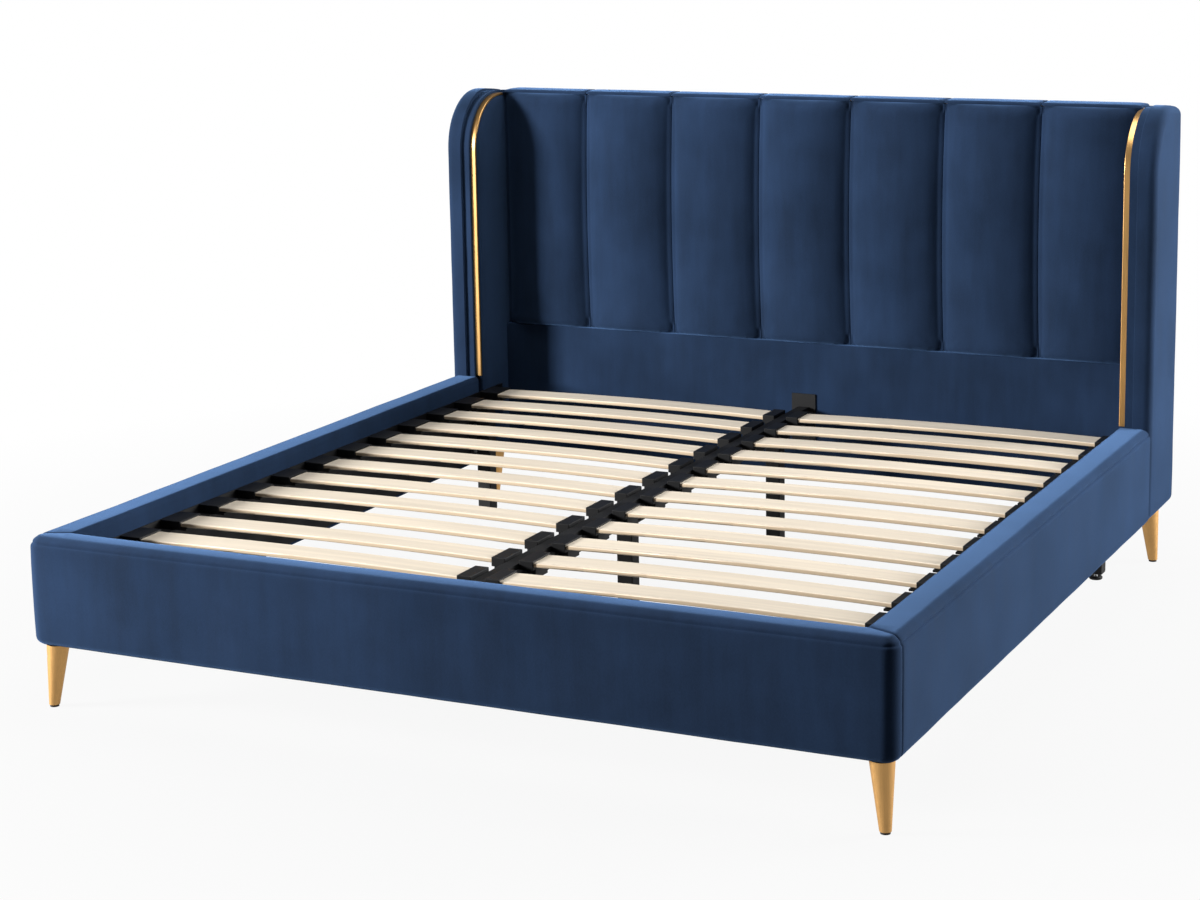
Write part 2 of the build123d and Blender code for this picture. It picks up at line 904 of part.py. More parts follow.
def side_cap():
    """Cap that holds a slat's outer end on the side bearer."""
    outer = half_well - cap_gap
    cap = cap_shell(outer - cap_length, outer) - slat_body(slat_fit)
    side = (cap_width - slat_width) / 2
    cap = cap + block(
        outer - cap_length - cap_foot_length, outer - cap_length, -side, slat_width + side,
        bearer_top, slat_seat - cap_foot_gap,
    )
    for start in cap_pegs(side_peg_x()):
        cap = cap + rod(start, (0, 0, 1), cap_peg_length, cap_peg_radius)
    return cap


def centre_peg_x():
    """Place of the centre caps' pegs, between the cap's end and the beam's edge."""
    return (centre_cap_gap / 2 + beam_width / 2) / 2


def centre_cap():
    """Cap that holds a slat's inner end on the beam, with a skirt down the beam's side."""
    inner = centre_cap_gap / 2
    outer = inner + centre_cap_length
    cap = cap_shell(inner, outer) - slat_body(slat_fit)
    middle = slat_width / 2
    skirt = block(
        beam_width / 2 + centre_skirt_clearance, outer,
        middle - centre_skirt_width / 2, middle + centre_skirt_width / 2,
        bearer_top - centre_skirt_depth, bearer_top,
    )
    cap = cap + skirt
    for start in cap_pegs(centre_peg_x()):
        cap = cap + rod(start, (0, 0, 1), cap_peg_length, cap_peg_radius)
    return cap


def peg_holes(x):
    """Clearance holes for the pegs of every cap in one row."""
    holes = []
    for row in slat_rows():
        for peg_x, peg_y, peg_z in cap_pegs(x):
            start = (peg_x, peg_y + row, peg_z)
            length = cap_peg_length + overrun
            holes.append(rod(start, (0, 0, 1), length, cap_peg_radius + bolt_clearance))
    return holes


def support_row(slats_before):
    """Place of a support leg, midway between a slat and the next one."""
    rows = slat_rows()
    return (rows[slats_before - 1] + rows[slats_before] + slat_width) / 2


def side_bearer():
    """Steel angle along the right-hand rail under the slat caps, with a lip behind them."""
    front, rear = bearer_span()
    flat = block(
        half_well - bearer_width, half_well, front, rear,
        bearer_top - bearer_thickness, bearer_top,
    )
    upright = block(
        half_well - bearer_thickness, half_well, front, rear,
        bearer_top - bearer_drop, slat_seat + slat_thickness + cap_roof,
    )
    angle = (flat + upright).cut(*peg_holes(side_peg_x()))
    angle = drilled(angle, bearer_screws(), bearer_screw_radius, bearer_screw_length)
    screws = support_screw_seats(*side_support_place())
    return drilled(angle, screws, support_screw_radius, support_screw_length)


def beam_span():
    """Front and rear ends of the beam, between its two brackets."""
    return (foot_inner + bracket_thickness, lower_pad_front - bracket_thickness)


def shelf_bolts():
    """Bolts that hold the beam down on its brackets' shelves."""
    front, rear = beam_span()
    seat_z = beam_top - beam_depth - bracket_thickness
    rows = (front + bracket_shelf / 2, rear - bracket_shelf / 2)
    return [((0, y, seat_z), (0, 0, 1)) for y in rows]


def centre_beam():
    """Steel tube down the middle of the bed, with a hollow rib between the centre caps."""
    front, rear = beam_span()
    tube = block(-beam_width / 2, beam_width / 2, front, rear, beam_top - beam_depth, beam_top)
    tube = fillet(tube.edges().filter_by(Axis.Y), beam_corner)
    rib = block(
        -beam_rib_width / 2, beam_rib_width / 2, front, rear, beam_top,
        beam_top + beam_rib_height,
    )
    rib_bore = block(
        -beam_rib_width / 2 + beam_wall, beam_rib_width / 2 - beam_wall, front - overrun,
        rear + overrun, beam_top - beam_depth / 2, beam_top + beam_rib_height - beam_wall,
    )
    bore = block(
        -beam_width / 2 + beam_wall, beam_width / 2 - beam_wall, front - overrun,
        rear + overrun, beam_top - beam_depth + beam_wall, beam_top - beam_wall,
    )
    bore = fillet(bore.edges().filter_by(Axis.Y), beam_corner - beam_wall)
    tube = (tube + rib - bore - rib_bore).cut(
        *peg_holes(centre_peg_x()), *peg_holes(-centre_peg_x()))
    tube = drilled(tube, shelf_bolts(), bolt_radius, shelf_bolt_length)
    for x, y, z in support_places()[:2]:
        tube = drilled(
            tube, support_screw_seats(x, y, z), support_screw_radius, support_screw_length)
    return tube


def beam_bracket(plate_front, plate_rear, shelf_front, shelf_rear, rise, bolts):
    """Upright plate with a shelf under the end of the beam."""
    low = beam_top - beam_depth
    plate = block(
        -bracket_width / 2, bracket_width / 2, plate_front, plate_rear,
        low - bracket_drop, beam_top + rise,
    )
    shelf = block(
        -bracket_width / 2, bracket_width / 2, shelf_front, shelf_rear,
        low - bracket_thickness, low,
    )
    bracket = drilled(plate + shelf, bolts, bolt_radius, bolt_length)
    return drilled(bracket, shelf_bolts(), bolt_radius, shelf_bolt_length)


def foot_bracket():
    """Bracket of the beam on the foot panel."""
    front, _ = beam_span()
    return beam_bracket(
        foot_inner, front, foot_inner, front + bracket_shelf,
        foot_bracket_rise, foot_bracket_bolts(),
    )


def head_bracket():
    """Bracket of the beam on the headboard, with a tall plate above the slats."""
    _, rear = beam_span()
    return beam_bracket(
        rear, lower_pad_front, rear - bracket_shelf, lower_pad_front,
        head_bracket_rise, head_bracket_bolts(),
    )


def corner_bracket():
    """Angle plate inside the right-hand foot corner."""
    low = corner_plate_bottom
    high = corner_plate_top
    on_foot = block(
        half_well - corner_plate_leg, half_well, foot_inner,
        foot_inner + corner_plate_thickness, low, high,
    )
    on_rail = block(
        half_well - corner_plate_thickness, half_well, foot_inner,
        foot_inner + corner_plate_leg, low, high,
    )
    bolts = foot_corner_bolts() + rail_corner_bolts()
    return drilled(on_foot + on_rail, bolts, bolt_radius, bolt_length)


def joining_plate():
    """Flat plate that joins the right-hand rail to its wing."""
    front, rear = joining_plate_ends()
    plate = block(
        half_well - corner_plate_thickness, half_well, front, rear,
        corner_plate_bottom, corner_plate_top,
    )
    bolts = rail_joining_bolts() + wing_joining_bolts()
    return drilled(plate, bolts, bolt_radius, bolt_length)


# Support legs


def side_support_place():
    """Plan and top height of the right-hand side support leg."""
    return (
        half_well - side_support_offset, support_row(head_support_slat_count),
        bearer_top - bearer_thickness,
    )


def support_places():
    """Plan and top height of each support leg: two under the beam, then left and right."""
    beam_low = beam_top - beam_depth
    side_x, side_y, side_z = side_support_place()
    return [
        (0, support_row(middle_support_slat_count), beam_low),
        (0, support_row(head_support_slat_count), beam_low),
        (-side_x, side_y, side_z),
        (side_x, side_y, side_z),
    ]


def support_screw_seats(x, y, top):
    """Two screws from below through a support leg's plate."""
    shift = math.copysign(side_screw_shift, x) if x else 0
    seat_z = top - support_plate_thickness
    rows = (y - support_screw_spacing / 2, y + support_screw_spacing / 2)
    return [((x + shift, row, seat_z), (0, 0, 1)) for row in rows]


def square_bar(x, y, z_low, z_high, width, corner):
    """Upright square bar with rounded corners."""
    bar = block(x - width / 2, x + width / 2, y - width / 2, y + width / 2, z_low, z_high)
    return fillet(bar.edges().filter_by(Axis.Z), corner)


def support_leg(x, y, top):
    """Square tube with a welded top plate."""
    plate_z = top - support_plate_thickness
    plate = square_bar(x, y, plate_z, top, support_plate, support_corner)
    tube = square_bar(x, y, support_bottom, plate_z, support_tube, support_corner)
    bore = square_bar(
        x, y, support_bottom - overrun, plate_z, support_tube - 2 * support_wall,
        support_corner - support_wall,
    )
    leg = plate + (tube - bore)
    return drilled(
        leg, support_screw_seats(x, y, top), support_screw_radius, support_screw_length)


def support_plug(x, y):
    """Threaded plug in a support leg's lower end, with a flange under the tube."""
    core = square_bar(
        x, y, support_bottom, support_bottom + plug_depth,
        support_tube - 2 * support_wall, support_corner - support_wall,
    )
    flange = square_bar(
        x, y, support_bottom - plug_flange, support_bottom, support_tube, plug_corner)
    start = (x, y, support_bottom - plug_flange - overrun)
    length = plug_depth + plug_flange + 2 * overrun
    return (core + flange) - rod(start, (0, 0, 1), length, levelling_radius + levelling_clearance)


def levelling_pad(x, y):
    """Round pad that stays still on the floor while the screw turns in it."""
    pad = rod((x, y, 0), (0, 0, 1), pad_height, pad_radius)
    rims = pad.edges().filter_by(GeomType.CIRCLE)
    pad = chamfer(rims, pad_chamfer)
    pocket_height = collar_height + 2 * levelling_clearance
    pocket = rod((x, y, pad_floor), (0, 0, 1), pocket_height, collar_radius + levelling_clearance)
    neck = rod((x, y, pad_floor), (0, 0, 1), pad_height, levelling_radius + levelling_clearance)
    return pad - pocket - neck


def levelling_screw(x, y):
    """Screw with a collar held in the pad."""
    start_z = pad_floor + levelling_clearance
    collar = rod((x, y, start_z), (0, 0, 1), collar_height, collar_radius)
    return collar + rod((x, y, start_z), (0, 0, 1), levelling_length, levelling_radius)


# Fasteners as pieces


def machine_bolts(fasteners, length):
    """Bolts with a head on each seat."""
    return [
        screw(seat, direction, length, bolt_radius, bolt_head_radius, bolt_head_height)
        for seat, direction in fasteners
    ]


def bearer_screw_pieces():
    """Screws of both side bearers."""
    return [
        screw(
            seat, direction, bearer_screw_length, bearer_screw_radius,
            bearer_screw_head_radius, bearer_screw_head_height,
        )
        for seat, direction in both_sides(bearer_screws())
    ]


def support_screw_pieces():
    """Screws of every support leg's plate, flush with the bearer's top under the slats."""
    pieces = []
    for x, y, top in support_places():
        length = side_screw_length if x else support_screw_length
        for seat, direction in support_screw_seats(x, y, top):
            pieces.append(screw(
                seat, direction, length, support_screw_radius,
                support_screw_head_radius, support_screw_head_height,
            ))
    return pieces


def all_nodes():
    """Every piece of the bed by node name."""
    nodes = foot_and_rails()
    nodes["headboard_frame"] = group(headboard_frame())
    nodes["headboard_plywood"] = plywood_face()
    nodes["headboard_back_cover"] = back_cover()
    nodes["headboard_lower_pad"] = lower_pad()
    nodes["headboard_channels"] = group(headboard_channels())
    nodes["headboard_top_band"] = top_band()
    for name, piece in right_wing().items():
        nodes["wing_right_" + name] = piece
        nodes["wing_left_" + name] = mirrored(piece)
    nodes["wing_bolts"] = group(machine_bolts(both_sides(wing_bolts()), wing_bolt_length))
    leg_names = ("leg_front_left", "leg_front_right", "leg_rear_left", "leg_rear_right")
    for name, leg in zip(leg_names, corner_legs()):
        nodes[name] = leg
    nodes["leg_plates"] = group(leg_plates())
    nodes["leg_bolts"] = group(leg_bolt_rods(leg_bolt_radius))
    nodes["leg_glides"] = group(leg_glides())
    right_slats = group(repeated(slat()))
    nodes["slats_right"] = right_slats
    nodes["slats_left"] = mirrored(right_slats)
    right_caps = group(repeated(side_cap()))
    nodes["side_caps_right"] = right_caps
    nodes["side_caps_left"] = mirrored(right_caps)
    centre_caps = group(repeated(centre_cap()))
    nodes["centre_caps_right"] = centre_caps
    nodes["centre_caps_left"] = mirrored(centre_caps)
    bearer = side_bearer()
    nodes["side_bearer_right"] = bearer
    nodes["side_bearer_left"] = mirrored(bearer)
    nodes["bearer_screws"] = group(bearer_screw_pieces())
    nodes["centre_beam"] = centre_beam()
    nodes["beam_bracket_foot"] = foot_bracket()
    nodes["beam_bracket_head"] = head_bracket()
    nodes["corner_brackets"] = group([corner_bracket(), mirrored(corner_bracket())])
    nodes["joining_plates"] = group([joining_plate(), mirrored(joining_plate())])
    bracket_bolts = machine_bolts(
        joint_bolts() + foot_bracket_bolts() + head_bracket_bolts(), bolt_length)
    bracket_bolts = bracket_bolts + machine_bolts(shelf_bolts(), shelf_bolt_length)
    nodes["bracket_bolts"] = group(bracket_bolts)
    places = support_places()
    nodes["support_legs"] = group([support_leg(*place) for place in places])
    nodes["support_leg_plugs"] = group([support_plug(x, y) for x, y, _ in places])
    nodes["support_leg_screws"] = group(support_screw_pieces())
    for name, (x, y, _) in zip(("middle", "head", "left", "right"), places):
        nodes["levelling_pad_" + name] = levelling_pad(x, y)
        nodes["levelling_screw_" + name] = levelling_screw(x, y)
    return nodes


for node_name, node_body in all_nodes().items():
    export_step(node_body, "parts/" + node_name + ".step")
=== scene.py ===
"""Velvet covers, padded headboard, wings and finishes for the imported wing-back bed frame."""

import math

import bmesh
import bpy
import numpy as np
from mathutils import Matrix, Vector, noise


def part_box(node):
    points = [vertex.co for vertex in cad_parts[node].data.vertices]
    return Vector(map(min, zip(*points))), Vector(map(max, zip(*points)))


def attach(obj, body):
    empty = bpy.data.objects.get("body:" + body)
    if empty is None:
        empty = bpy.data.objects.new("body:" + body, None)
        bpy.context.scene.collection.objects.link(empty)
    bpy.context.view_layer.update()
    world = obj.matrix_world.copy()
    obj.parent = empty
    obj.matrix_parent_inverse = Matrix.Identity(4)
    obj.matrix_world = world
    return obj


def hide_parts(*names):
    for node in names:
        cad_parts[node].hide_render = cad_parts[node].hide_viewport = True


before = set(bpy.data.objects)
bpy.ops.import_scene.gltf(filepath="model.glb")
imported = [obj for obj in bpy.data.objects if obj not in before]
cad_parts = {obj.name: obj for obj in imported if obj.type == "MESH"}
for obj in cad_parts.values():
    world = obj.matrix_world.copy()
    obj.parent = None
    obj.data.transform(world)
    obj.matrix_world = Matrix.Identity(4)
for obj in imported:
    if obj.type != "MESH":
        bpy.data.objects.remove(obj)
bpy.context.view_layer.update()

bl_info = {
    "name": "Wing-back Upholstered Bed",
    "version": (1, 0, 0),
    "blender": (4, 5, 0),
    "location": "3D View > Sidebar > Bed",
    "description": "Velvet covers, padded channels, wings and a studio stage for a bed frame",
    "category": "Object",
}

BODY = "bed"
PHOTO_SIZE = (1200, 900)
TINY = 1e-5

# Slats, their ply and the depth of the seams between the channels, in metres
SLAT_COUNT = 12
SLAT_WIDTH = 0.075
SLAT_THICKNESS = 0.010
PLY_PAIR = 0.0024
CHANNEL_VALLEY = 1.0165

# Cuts across a seam, in half widths of its valley
LONG_SEAM_CUTS = (-2.4, -1.2, -0.5, 0, 0.5, 1.2, 2.4)
BAND_SEAM_CUTS = (-1.6, -0.6, 0, 0.6, 1.6)

# Places read from the frame, in metres
foot_low, foot_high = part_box("foot_panel_cover")
rail_low, rail_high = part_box("rail_right_cover")
pad_low, pad_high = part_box("wing_right_outer_pad")
band_low, band_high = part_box("wing_right_front_band")
strip_low, strip_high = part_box("wing_right_gold_strip")
inner_low, inner_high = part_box("wing_right_inner_pad")
channels_low, channels_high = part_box("headboard_channels")
top_low, top_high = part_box("headboard_top_band")
lower_low, lower_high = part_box("headboard_lower_pad")
back_low, back_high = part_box("headboard_back_cover")
lining_low, lining_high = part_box("inner_linings")
slat_low, slat_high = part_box("slats_right")

HALF_WIDTH = foot_high.x
HALF_WELL = rail_low.x
FOOT_FRONT = foot_low.y
FOOT_INNER = foot_high.y
WING_FRONT = rail_high.y
FRAME_BOTTOM = foot_low.z
RAIL_TOP = foot_high.z


class BedSizes(bpy.types.PropertyGroup):
    """Sizes of the upholstery."""

    corner_radius: bpy.props.FloatProperty(
        name="Foot corner radius", description="Upright rounding of the foot corners",
        default=0.032, unit="LENGTH", subtype="DISTANCE")
    top_outer_radius: bpy.props.FloatProperty(
        name="Top outer radius", description="Rounding of the covers' outer top edge",
        default=0.025, unit="LENGTH", subtype="DISTANCE")
    top_inner_radius: bpy.props.FloatProperty(
        name="Top inner radius", description="Rounding of the covers' inner top edge",
        default=0.012, unit="LENGTH", subtype="DISTANCE")
    bottom_radius: bpy.props.FloatProperty(
        name="Bottom radius", description="Rounding of the covers' outer bottom edge",
        default=0.017, unit="LENGTH", subtype="DISTANCE")
    seam_drop: bpy.props.FloatProperty(
        name="Seam drop", description="Height of the long seam below the top of the covers",
        default=0.014, unit="LENGTH", subtype="DISTANCE")
    seam_depth: bpy.props.FloatProperty(
        name="Seam depth", description="Depth to which a seam pulls the cover in",
        default=0.0026, unit="LENGTH", subtype="DISTANCE")
    seam_width: bpy.props.FloatProperty(
        name="Seam width", description="Half width of the valley along a seam",
        default=0.0026, unit="LENGTH", subtype="DISTANCE")
    cover_crown: bpy.props.FloatProperty(
        name="Cover crown", description="Swell of the covers between their edges",
        default=0.0018, unit="LENGTH", subtype="DISTANCE")
    wing_front_radius: bpy.props.FloatProperty(
        name="Wing front radius", description="Large rounding at the top front of a wing",
        default=0.165, unit="LENGTH", subtype="DISTANCE")
    wing_outer_round: bpy.props.FloatProperty(
        name="Wing outer rounding", description="Rounding of the wing pad's outer edge",
        default=0.028, unit="LENGTH", subtype="DISTANCE")
    channel_count: bpy.props.IntProperty(
        name="Channels", description="Number of padded channels in the headboard", default=7)
    channel_swell: bpy.props.FloatProperty(
        name="Channel swell", description="Most that a channel's cloth may move when it fills",
        default=0.007, unit="LENGTH", subtype="DISTANCE")


class BedColours(bpy.types.PropertyGroup):
    """Colours of the finishes."""

    velvet_dark: bpy.props.FloatVectorProperty(
        name="Velvet, dark", description="Velvet where the pile lies towards the eye",
        default=(0.0080, 0.0165, 0.0365), subtype="COLOR", size=3)
    velvet_light: bpy.props.FloatVectorProperty(
        name="Velvet, light", description="Velvet where the pile lies away",
        default=(0.0158, 0.0320, 0.0715), subtype="COLOR", size=3)
    velvet_sheen: bpy.props.FloatVectorProperty(
        name="Velvet sheen", description="Tint of the pile at a low angle",
        default=(0.08, 0.155, 0.31), subtype="COLOR", size=3)
    brass: bpy.props.FloatVectorProperty(
        name="Brass", description="Brushed brass of the legs and strips",
        default=(0.70, 0.405, 0.15), subtype="COLOR", size=3)
    birch: bpy.props.FloatVectorProperty(
        name="Birch", description="Face of the slats",
        default=(0.72, 0.632, 0.51), subtype="COLOR", size=3)
    plastic: bpy.props.FloatVectorProperty(
        name="Plastic", description="Moulded slat caps and plugs",
        default=(0.005, 0.005, 0.0055), subtype="COLOR", size=3)
    steel: bpy.props.FloatVectorProperty(
        name="Coated steel", description="Powder-coated bearers, beam, brackets and legs",
        default=(0.0045, 0.0045, 0.005), subtype="COLOR", size=3)


# Node helpers

NOISE_SPAN = (0.3, 0.7)


def material_nodes(name):
    """A new node material with its shader and its links."""
    material = bpy.data.materials.new(name)
    material.use_nodes = True
    tree = material.node_tree
    return material, tree, tree.nodes["Principled BSDF"]


def object_coords(tree, scale=(1, 1, 1)):
    """Object coordinates, scaled by a mapping."""
    coords = tree.nodes.new("ShaderNodeTexCoord")
    mapping = tree.nodes.new("ShaderNodeMapping")
    mapping.inputs["Scale"].default_value = scale
    tree.links.new(coords.outputs["Object"], mapping.inputs["Vector"])
    return mapping.outputs["Vector"]


def noise_value(tree, vector, scale=1.0, detail=2, roughness=0.5):
    """Noise texture value on a vector."""
    node = tree.nodes.new("ShaderNodeTexNoise")
    node.inputs["Scale"].default_value = scale
    node.inputs["Detail"].default_value = detail
    node.inputs["Roughness"].default_value = roughness
    tree.links.new(vector, node.inputs["Vector"])
    return node.outputs["Fac"]


def plug(tree, value, socket):
    """Link an output, or set a plain value."""
    if isinstance(value, bpy.types.NodeSocket):
        tree.links.new(value, socket)
    else:
        socket.default_value = value


def fit_shader(tree, shader, sockets):
    """Link or set several sockets of a shader by their labels."""
    for label, value in sockets.items():
        plug(tree, value, shader.inputs[label])


def math_value(tree, kind, first, second=0.0):
    """One math node."""
    node = tree.nodes.new("ShaderNodeMath")
    node.operation = kind
    plug(tree, first, node.inputs[0])
    plug(tree, second, node.inputs[1])
    return node.outputs[0]


def times(tree, first, second):
    """Product of two values."""
    return math_value(tree, "MULTIPLY", first, second)


def weighted(tree, *parts):
    """Sum of outputs, each times its own share."""
    total, *others = [times(tree, value, share) for value, share in parts]
    for other in others:
        total = math_value(tree, "ADD", total, other)
    return total


def remap(tree, value, source, target=(0.0, 1.0)):
    """Map a value from one range to another, clamped."""
    node = tree.nodes.new("ShaderNodeMapRange")
    plug(tree, value, node.inputs["Value"])
    for label, limit in zip(("From Min", "From Max", "To Min", "To Max"), (*source, *target)):
        node.inputs[label].default_value = limit
    return node.outputs["Result"]


def mix_colour(tree, share, first, second):
    """Blend two colours, each a plain colour or an output."""
    node = tree.nodes.new("ShaderNodeMix")
    node.data_type = "RGBA"
    plug(tree, share, node.inputs["Factor"])
    for colour, socket in ((first, node.inputs["A"]), (second, node.inputs["B"])):
        plug(tree, colour if isinstance(colour, bpy.types.NodeSocket) else (*colour, 1), socket)
    return node.outputs["Result"]


def bump_normal(tree, height, distance, strength, normal=None):
    """Bump from a height in the unit range, on top of another bump where one is given."""
    node = tree.nodes.new("ShaderNodeBump")
    node.inputs["Strength"].default_value = strength
    node.inputs["Distance"].default_value = distance
    tree.links.new(height, node.inputs["Height"])
    if normal is not None:
        tree.links.new(normal, node.inputs["Normal"])
    return node.outputs["Normal"]


def shade(colour, factor):
    """A colour made darker or lighter."""
    return tuple(min(part * factor, 1.0) for part in colour)


# Finishes


def velvet_finish(name, dark, light, sheen):
    """Short-pile velvet: mottled nap, upright brush marks and fine pile."""
    material, tree, shader = material_nodes(name)
    plain = object_coords(tree)
    broad = noise_value(tree, plain, 4.0, 3, 0.55)
    brushed = noise_value(tree, object_coords(tree, (26, 26, 4)), detail=4, roughness=0.6)
    weave = noise_value(tree, object_coords(tree, (420, 420, 260)), detail=3, roughness=0.6)
    pile = noise_value(tree, plain, 1500.0, 2, 0.6)
    tone = weighted(tree, (broad, 0.5), (brushed, 0.32), (weave, 0.18))
    woven = bump_normal(tree, weave, 0.0005, 0.35)
    fit_shader(tree, shader, {
        "Base Color": mix_colour(tree, remap(tree, tone, (0.36, 0.64)), dark, light),
        "Roughness": remap(tree, brushed, NOISE_SPAN, (0.82, 0.98)),
        "Normal": bump_normal(tree, pile, 0.0003, 0.35, woven),
        "Sheen Weight": 1.0,
        "Sheen Roughness": 0.45,
        "Sheen Tint": (*sheen, 1),
        "Specular IOR Level": 0.05,
    })
    return material


def brass_finish(name, colour, stretch, gloss):
    """Satin brass with brush lines drawn out along one way of the piece."""
    material, tree, shader = material_nodes(name)
    lines = noise_value(tree, object_coords(tree, stretch), detail=4, roughness=0.65)
    cloud = noise_value(tree, object_coords(tree), 9.0)
    share = remap(tree, weighted(tree, (lines, 0.7), (cloud, 0.3)), NOISE_SPAN)
    fit_shader(tree, shader, {
        "Base Color": mix_colour(tree, share, shade(colour, 0.8), shade(colour, 1.12)),
        "Roughness": remap(tree, lines, NOISE_SPAN, gloss),
        "Normal": bump_normal(tree, lines, 0.0002, 0.18),
        "Metallic": 1.0,
    })
    return material


def birch_finish(name, colour):
    """Bent birch ply: long grain on the faces, glued layers on the edges, a tone for each slat."""
    material, tree, shader = material_nodes(name)
    coords = tree.nodes.new("ShaderNodeTexCoord")
    place = tree.nodes.new("ShaderNodeSeparateXYZ")
    tree.links.new(coords.outputs["Object"], place.inputs["Vector"])
    along, across, height = (place.outputs[axis] for axis in "XYZ")

    # A number for each slat, from its row and its side of the bed
    pitch = (slat_high.y - slat_low.y - SLAT_WIDTH) / (SLAT_COUNT - 1)
    ahead = math_value(tree, "SUBTRACT", across, slat_low.y - pitch / 4)
    row = math_value(tree, "FLOOR", math_value(tree, "DIVIDE", ahead, pitch))
    side = times(tree, math_value(tree, "SIGN", along), 31.0)
    tag = tree.nodes.new("ShaderNodeTexWhiteNoise")
    tag.noise_dimensions = "1D"
    tree.links.new(math_value(tree, "ADD", row, side), tag.inputs["W"])
    own = tag.outputs["Value"]

    spot = tree.nodes.new("ShaderNodeCombineXYZ")
    for axis, value, stretch in (("X", along, 1.6), ("Y", across, 70.0), ("Z", own, 40.0)):
        plug(tree, times(tree, value, stretch), spot.inputs[axis])
    grain = noise_value(tree, spot.outputs["Vector"], detail=5, roughness=0.62)
    pores = noise_value(tree, object_coords(tree, (45, 900, 900)), roughness=0.6)
    face = mix_colour(
        tree, remap(tree, grain, (0.34, 0.66)), shade(colour, 0.86), shade(colour, 1.05))
    for share, dimmed in (
        (remap(tree, pores, (0.62, 0.75), (0.0, 0.28)), 0.6),
        (remap(tree, own, (0.0, 1.0), (0.0, 0.3)), 0.82),
    ):
        face = mix_colour(tree, share, face, shade(colour, dimmed))

    # Glued layers that follow the bow of the slat
    middle, half = (slat_low.x + slat_high.x) / 2, (slat_high.x - slat_low.x) / 2
    bow = slat_high.z - slat_low.z - SLAT_THICKNESS
    reach = math_value(tree, "SUBTRACT", math_value(tree, "ABSOLUTE", along), middle)
    from_middle = math_value(tree, "DIVIDE", reach, half)
    fall = times(tree, times(tree, from_middle, from_middle), bow)
    level = math_value(tree, "ADD", height, fall)
    layer = math_value(tree, "SINE", times(tree, level, 2 * math.pi / PLY_PAIR))
    edge = mix_colour(
        tree, remap(tree, layer, (-0.6, 0.6)), (0.46, 0.345, 0.225), (0.62, 0.49, 0.34))

    bearing = tree.nodes.new("ShaderNodeSeparateXYZ")
    tree.links.new(coords.outputs["Normal"], bearing.inputs["Vector"])
    upright = math_value(tree, "ABSOLUTE", bearing.outputs["Z"])
    fit_shader(tree, shader, {
        "Base Color": mix_colour(tree, remap(tree, upright, (0.45, 0.8)), edge, face),
        "Roughness": remap(tree, grain, NOISE_SPAN, (0.42, 0.6)),
        "Normal": bump_normal(tree, pores, 0.0002, 0.25),
    })
    return material


def coated_finish(name, colour, gloss, scale, depth):
    """Moulded plastic or powder coat: a faint texture and slightly uneven gloss."""
    material, tree, shader = material_nodes(name)
    fine = noise_value(tree, object_coords(tree), scale, 3, 0.6)
    cloud = noise_value(tree, object_coords(tree), 14.0)
    share = remap(tree, cloud, (0.35, 0.65))
    fit_shader(tree, shader, {
        "Base Color": mix_colour(tree, share, shade(colour, 0.75), shade(colour, 1.35)),
        "Roughness": remap(tree, fine, NOISE_SPAN, gloss),
        "Normal": bump_normal(tree, fine, depth, 0.4),
        "Specular IOR Level": 0.24,
    })
    return material


def timber_finish(name, colour, stretch):
    """Sawn softwood with long grain."""
    material, tree, shader = material_nodes(name)
    grain = noise_value(tree, object_coords(tree, stretch), detail=5, roughness=0.65)
    share = remap(tree, grain, NOISE_SPAN)
    fit_shader(tree, shader, {
        "Base Color": mix_colour(tree, share, shade(colour, 0.72), shade(colour, 1.1)),
        "Roughness": remap(tree, grain, NOISE_SPAN, (0.6, 0.8)),
        "Normal": bump_normal(tree, grain, 0.0004, 0.4),
    })
    return material


def zinc_finish(name):
    """Bright zinc plate on screws and bolts."""
    material, tree, shader = material_nodes(name)
    fine = noise_value(tree, object_coords(tree), 700.0)
    share = remap(tree, fine, NOISE_SPAN)
    fit_shader(tree, shader, {
        "Base Color": mix_colour(tree, share, (0.42, 0.43, 0.45), (0.60, 0.61, 0.62)),
        "Roughness": remap(tree, fine, NOISE_SPAN, (0.28, 0.42)),
        "Metallic": 1.0,
    })
    return material


def lining_finish(name):
    """Black non-woven lining: matted fibres and a dotted bond."""
    material, tree, shader = material_nodes(name)
    fibre = noise_value(tree, object_coords(tree), 650.0, 4, 0.7)
    dots = tree.nodes.new("ShaderNodeTexVoronoi")
    dots.inputs["Scale"].default_value = 420.0
    tree.links.new(object_coords(tree), dots.inputs["Vector"])
    bond = remap(tree, dots.outputs["Distance"], (0.15, 0.45))
    share = remap(tree, fibre, (0.35, 0.65))
    fit_shader(tree, shader, {
        "Base Color": mix_colour(tree, share, (0.006, 0.006, 0.007), (0.016, 0.016, 0.018)),
        "Roughness": remap(tree, fibre, NOISE_SPAN, (0.85, 1.0)),
        "Normal": bump_normal(tree, bond, 0.0004, 0.4),
    })
    return material


finishes = {}


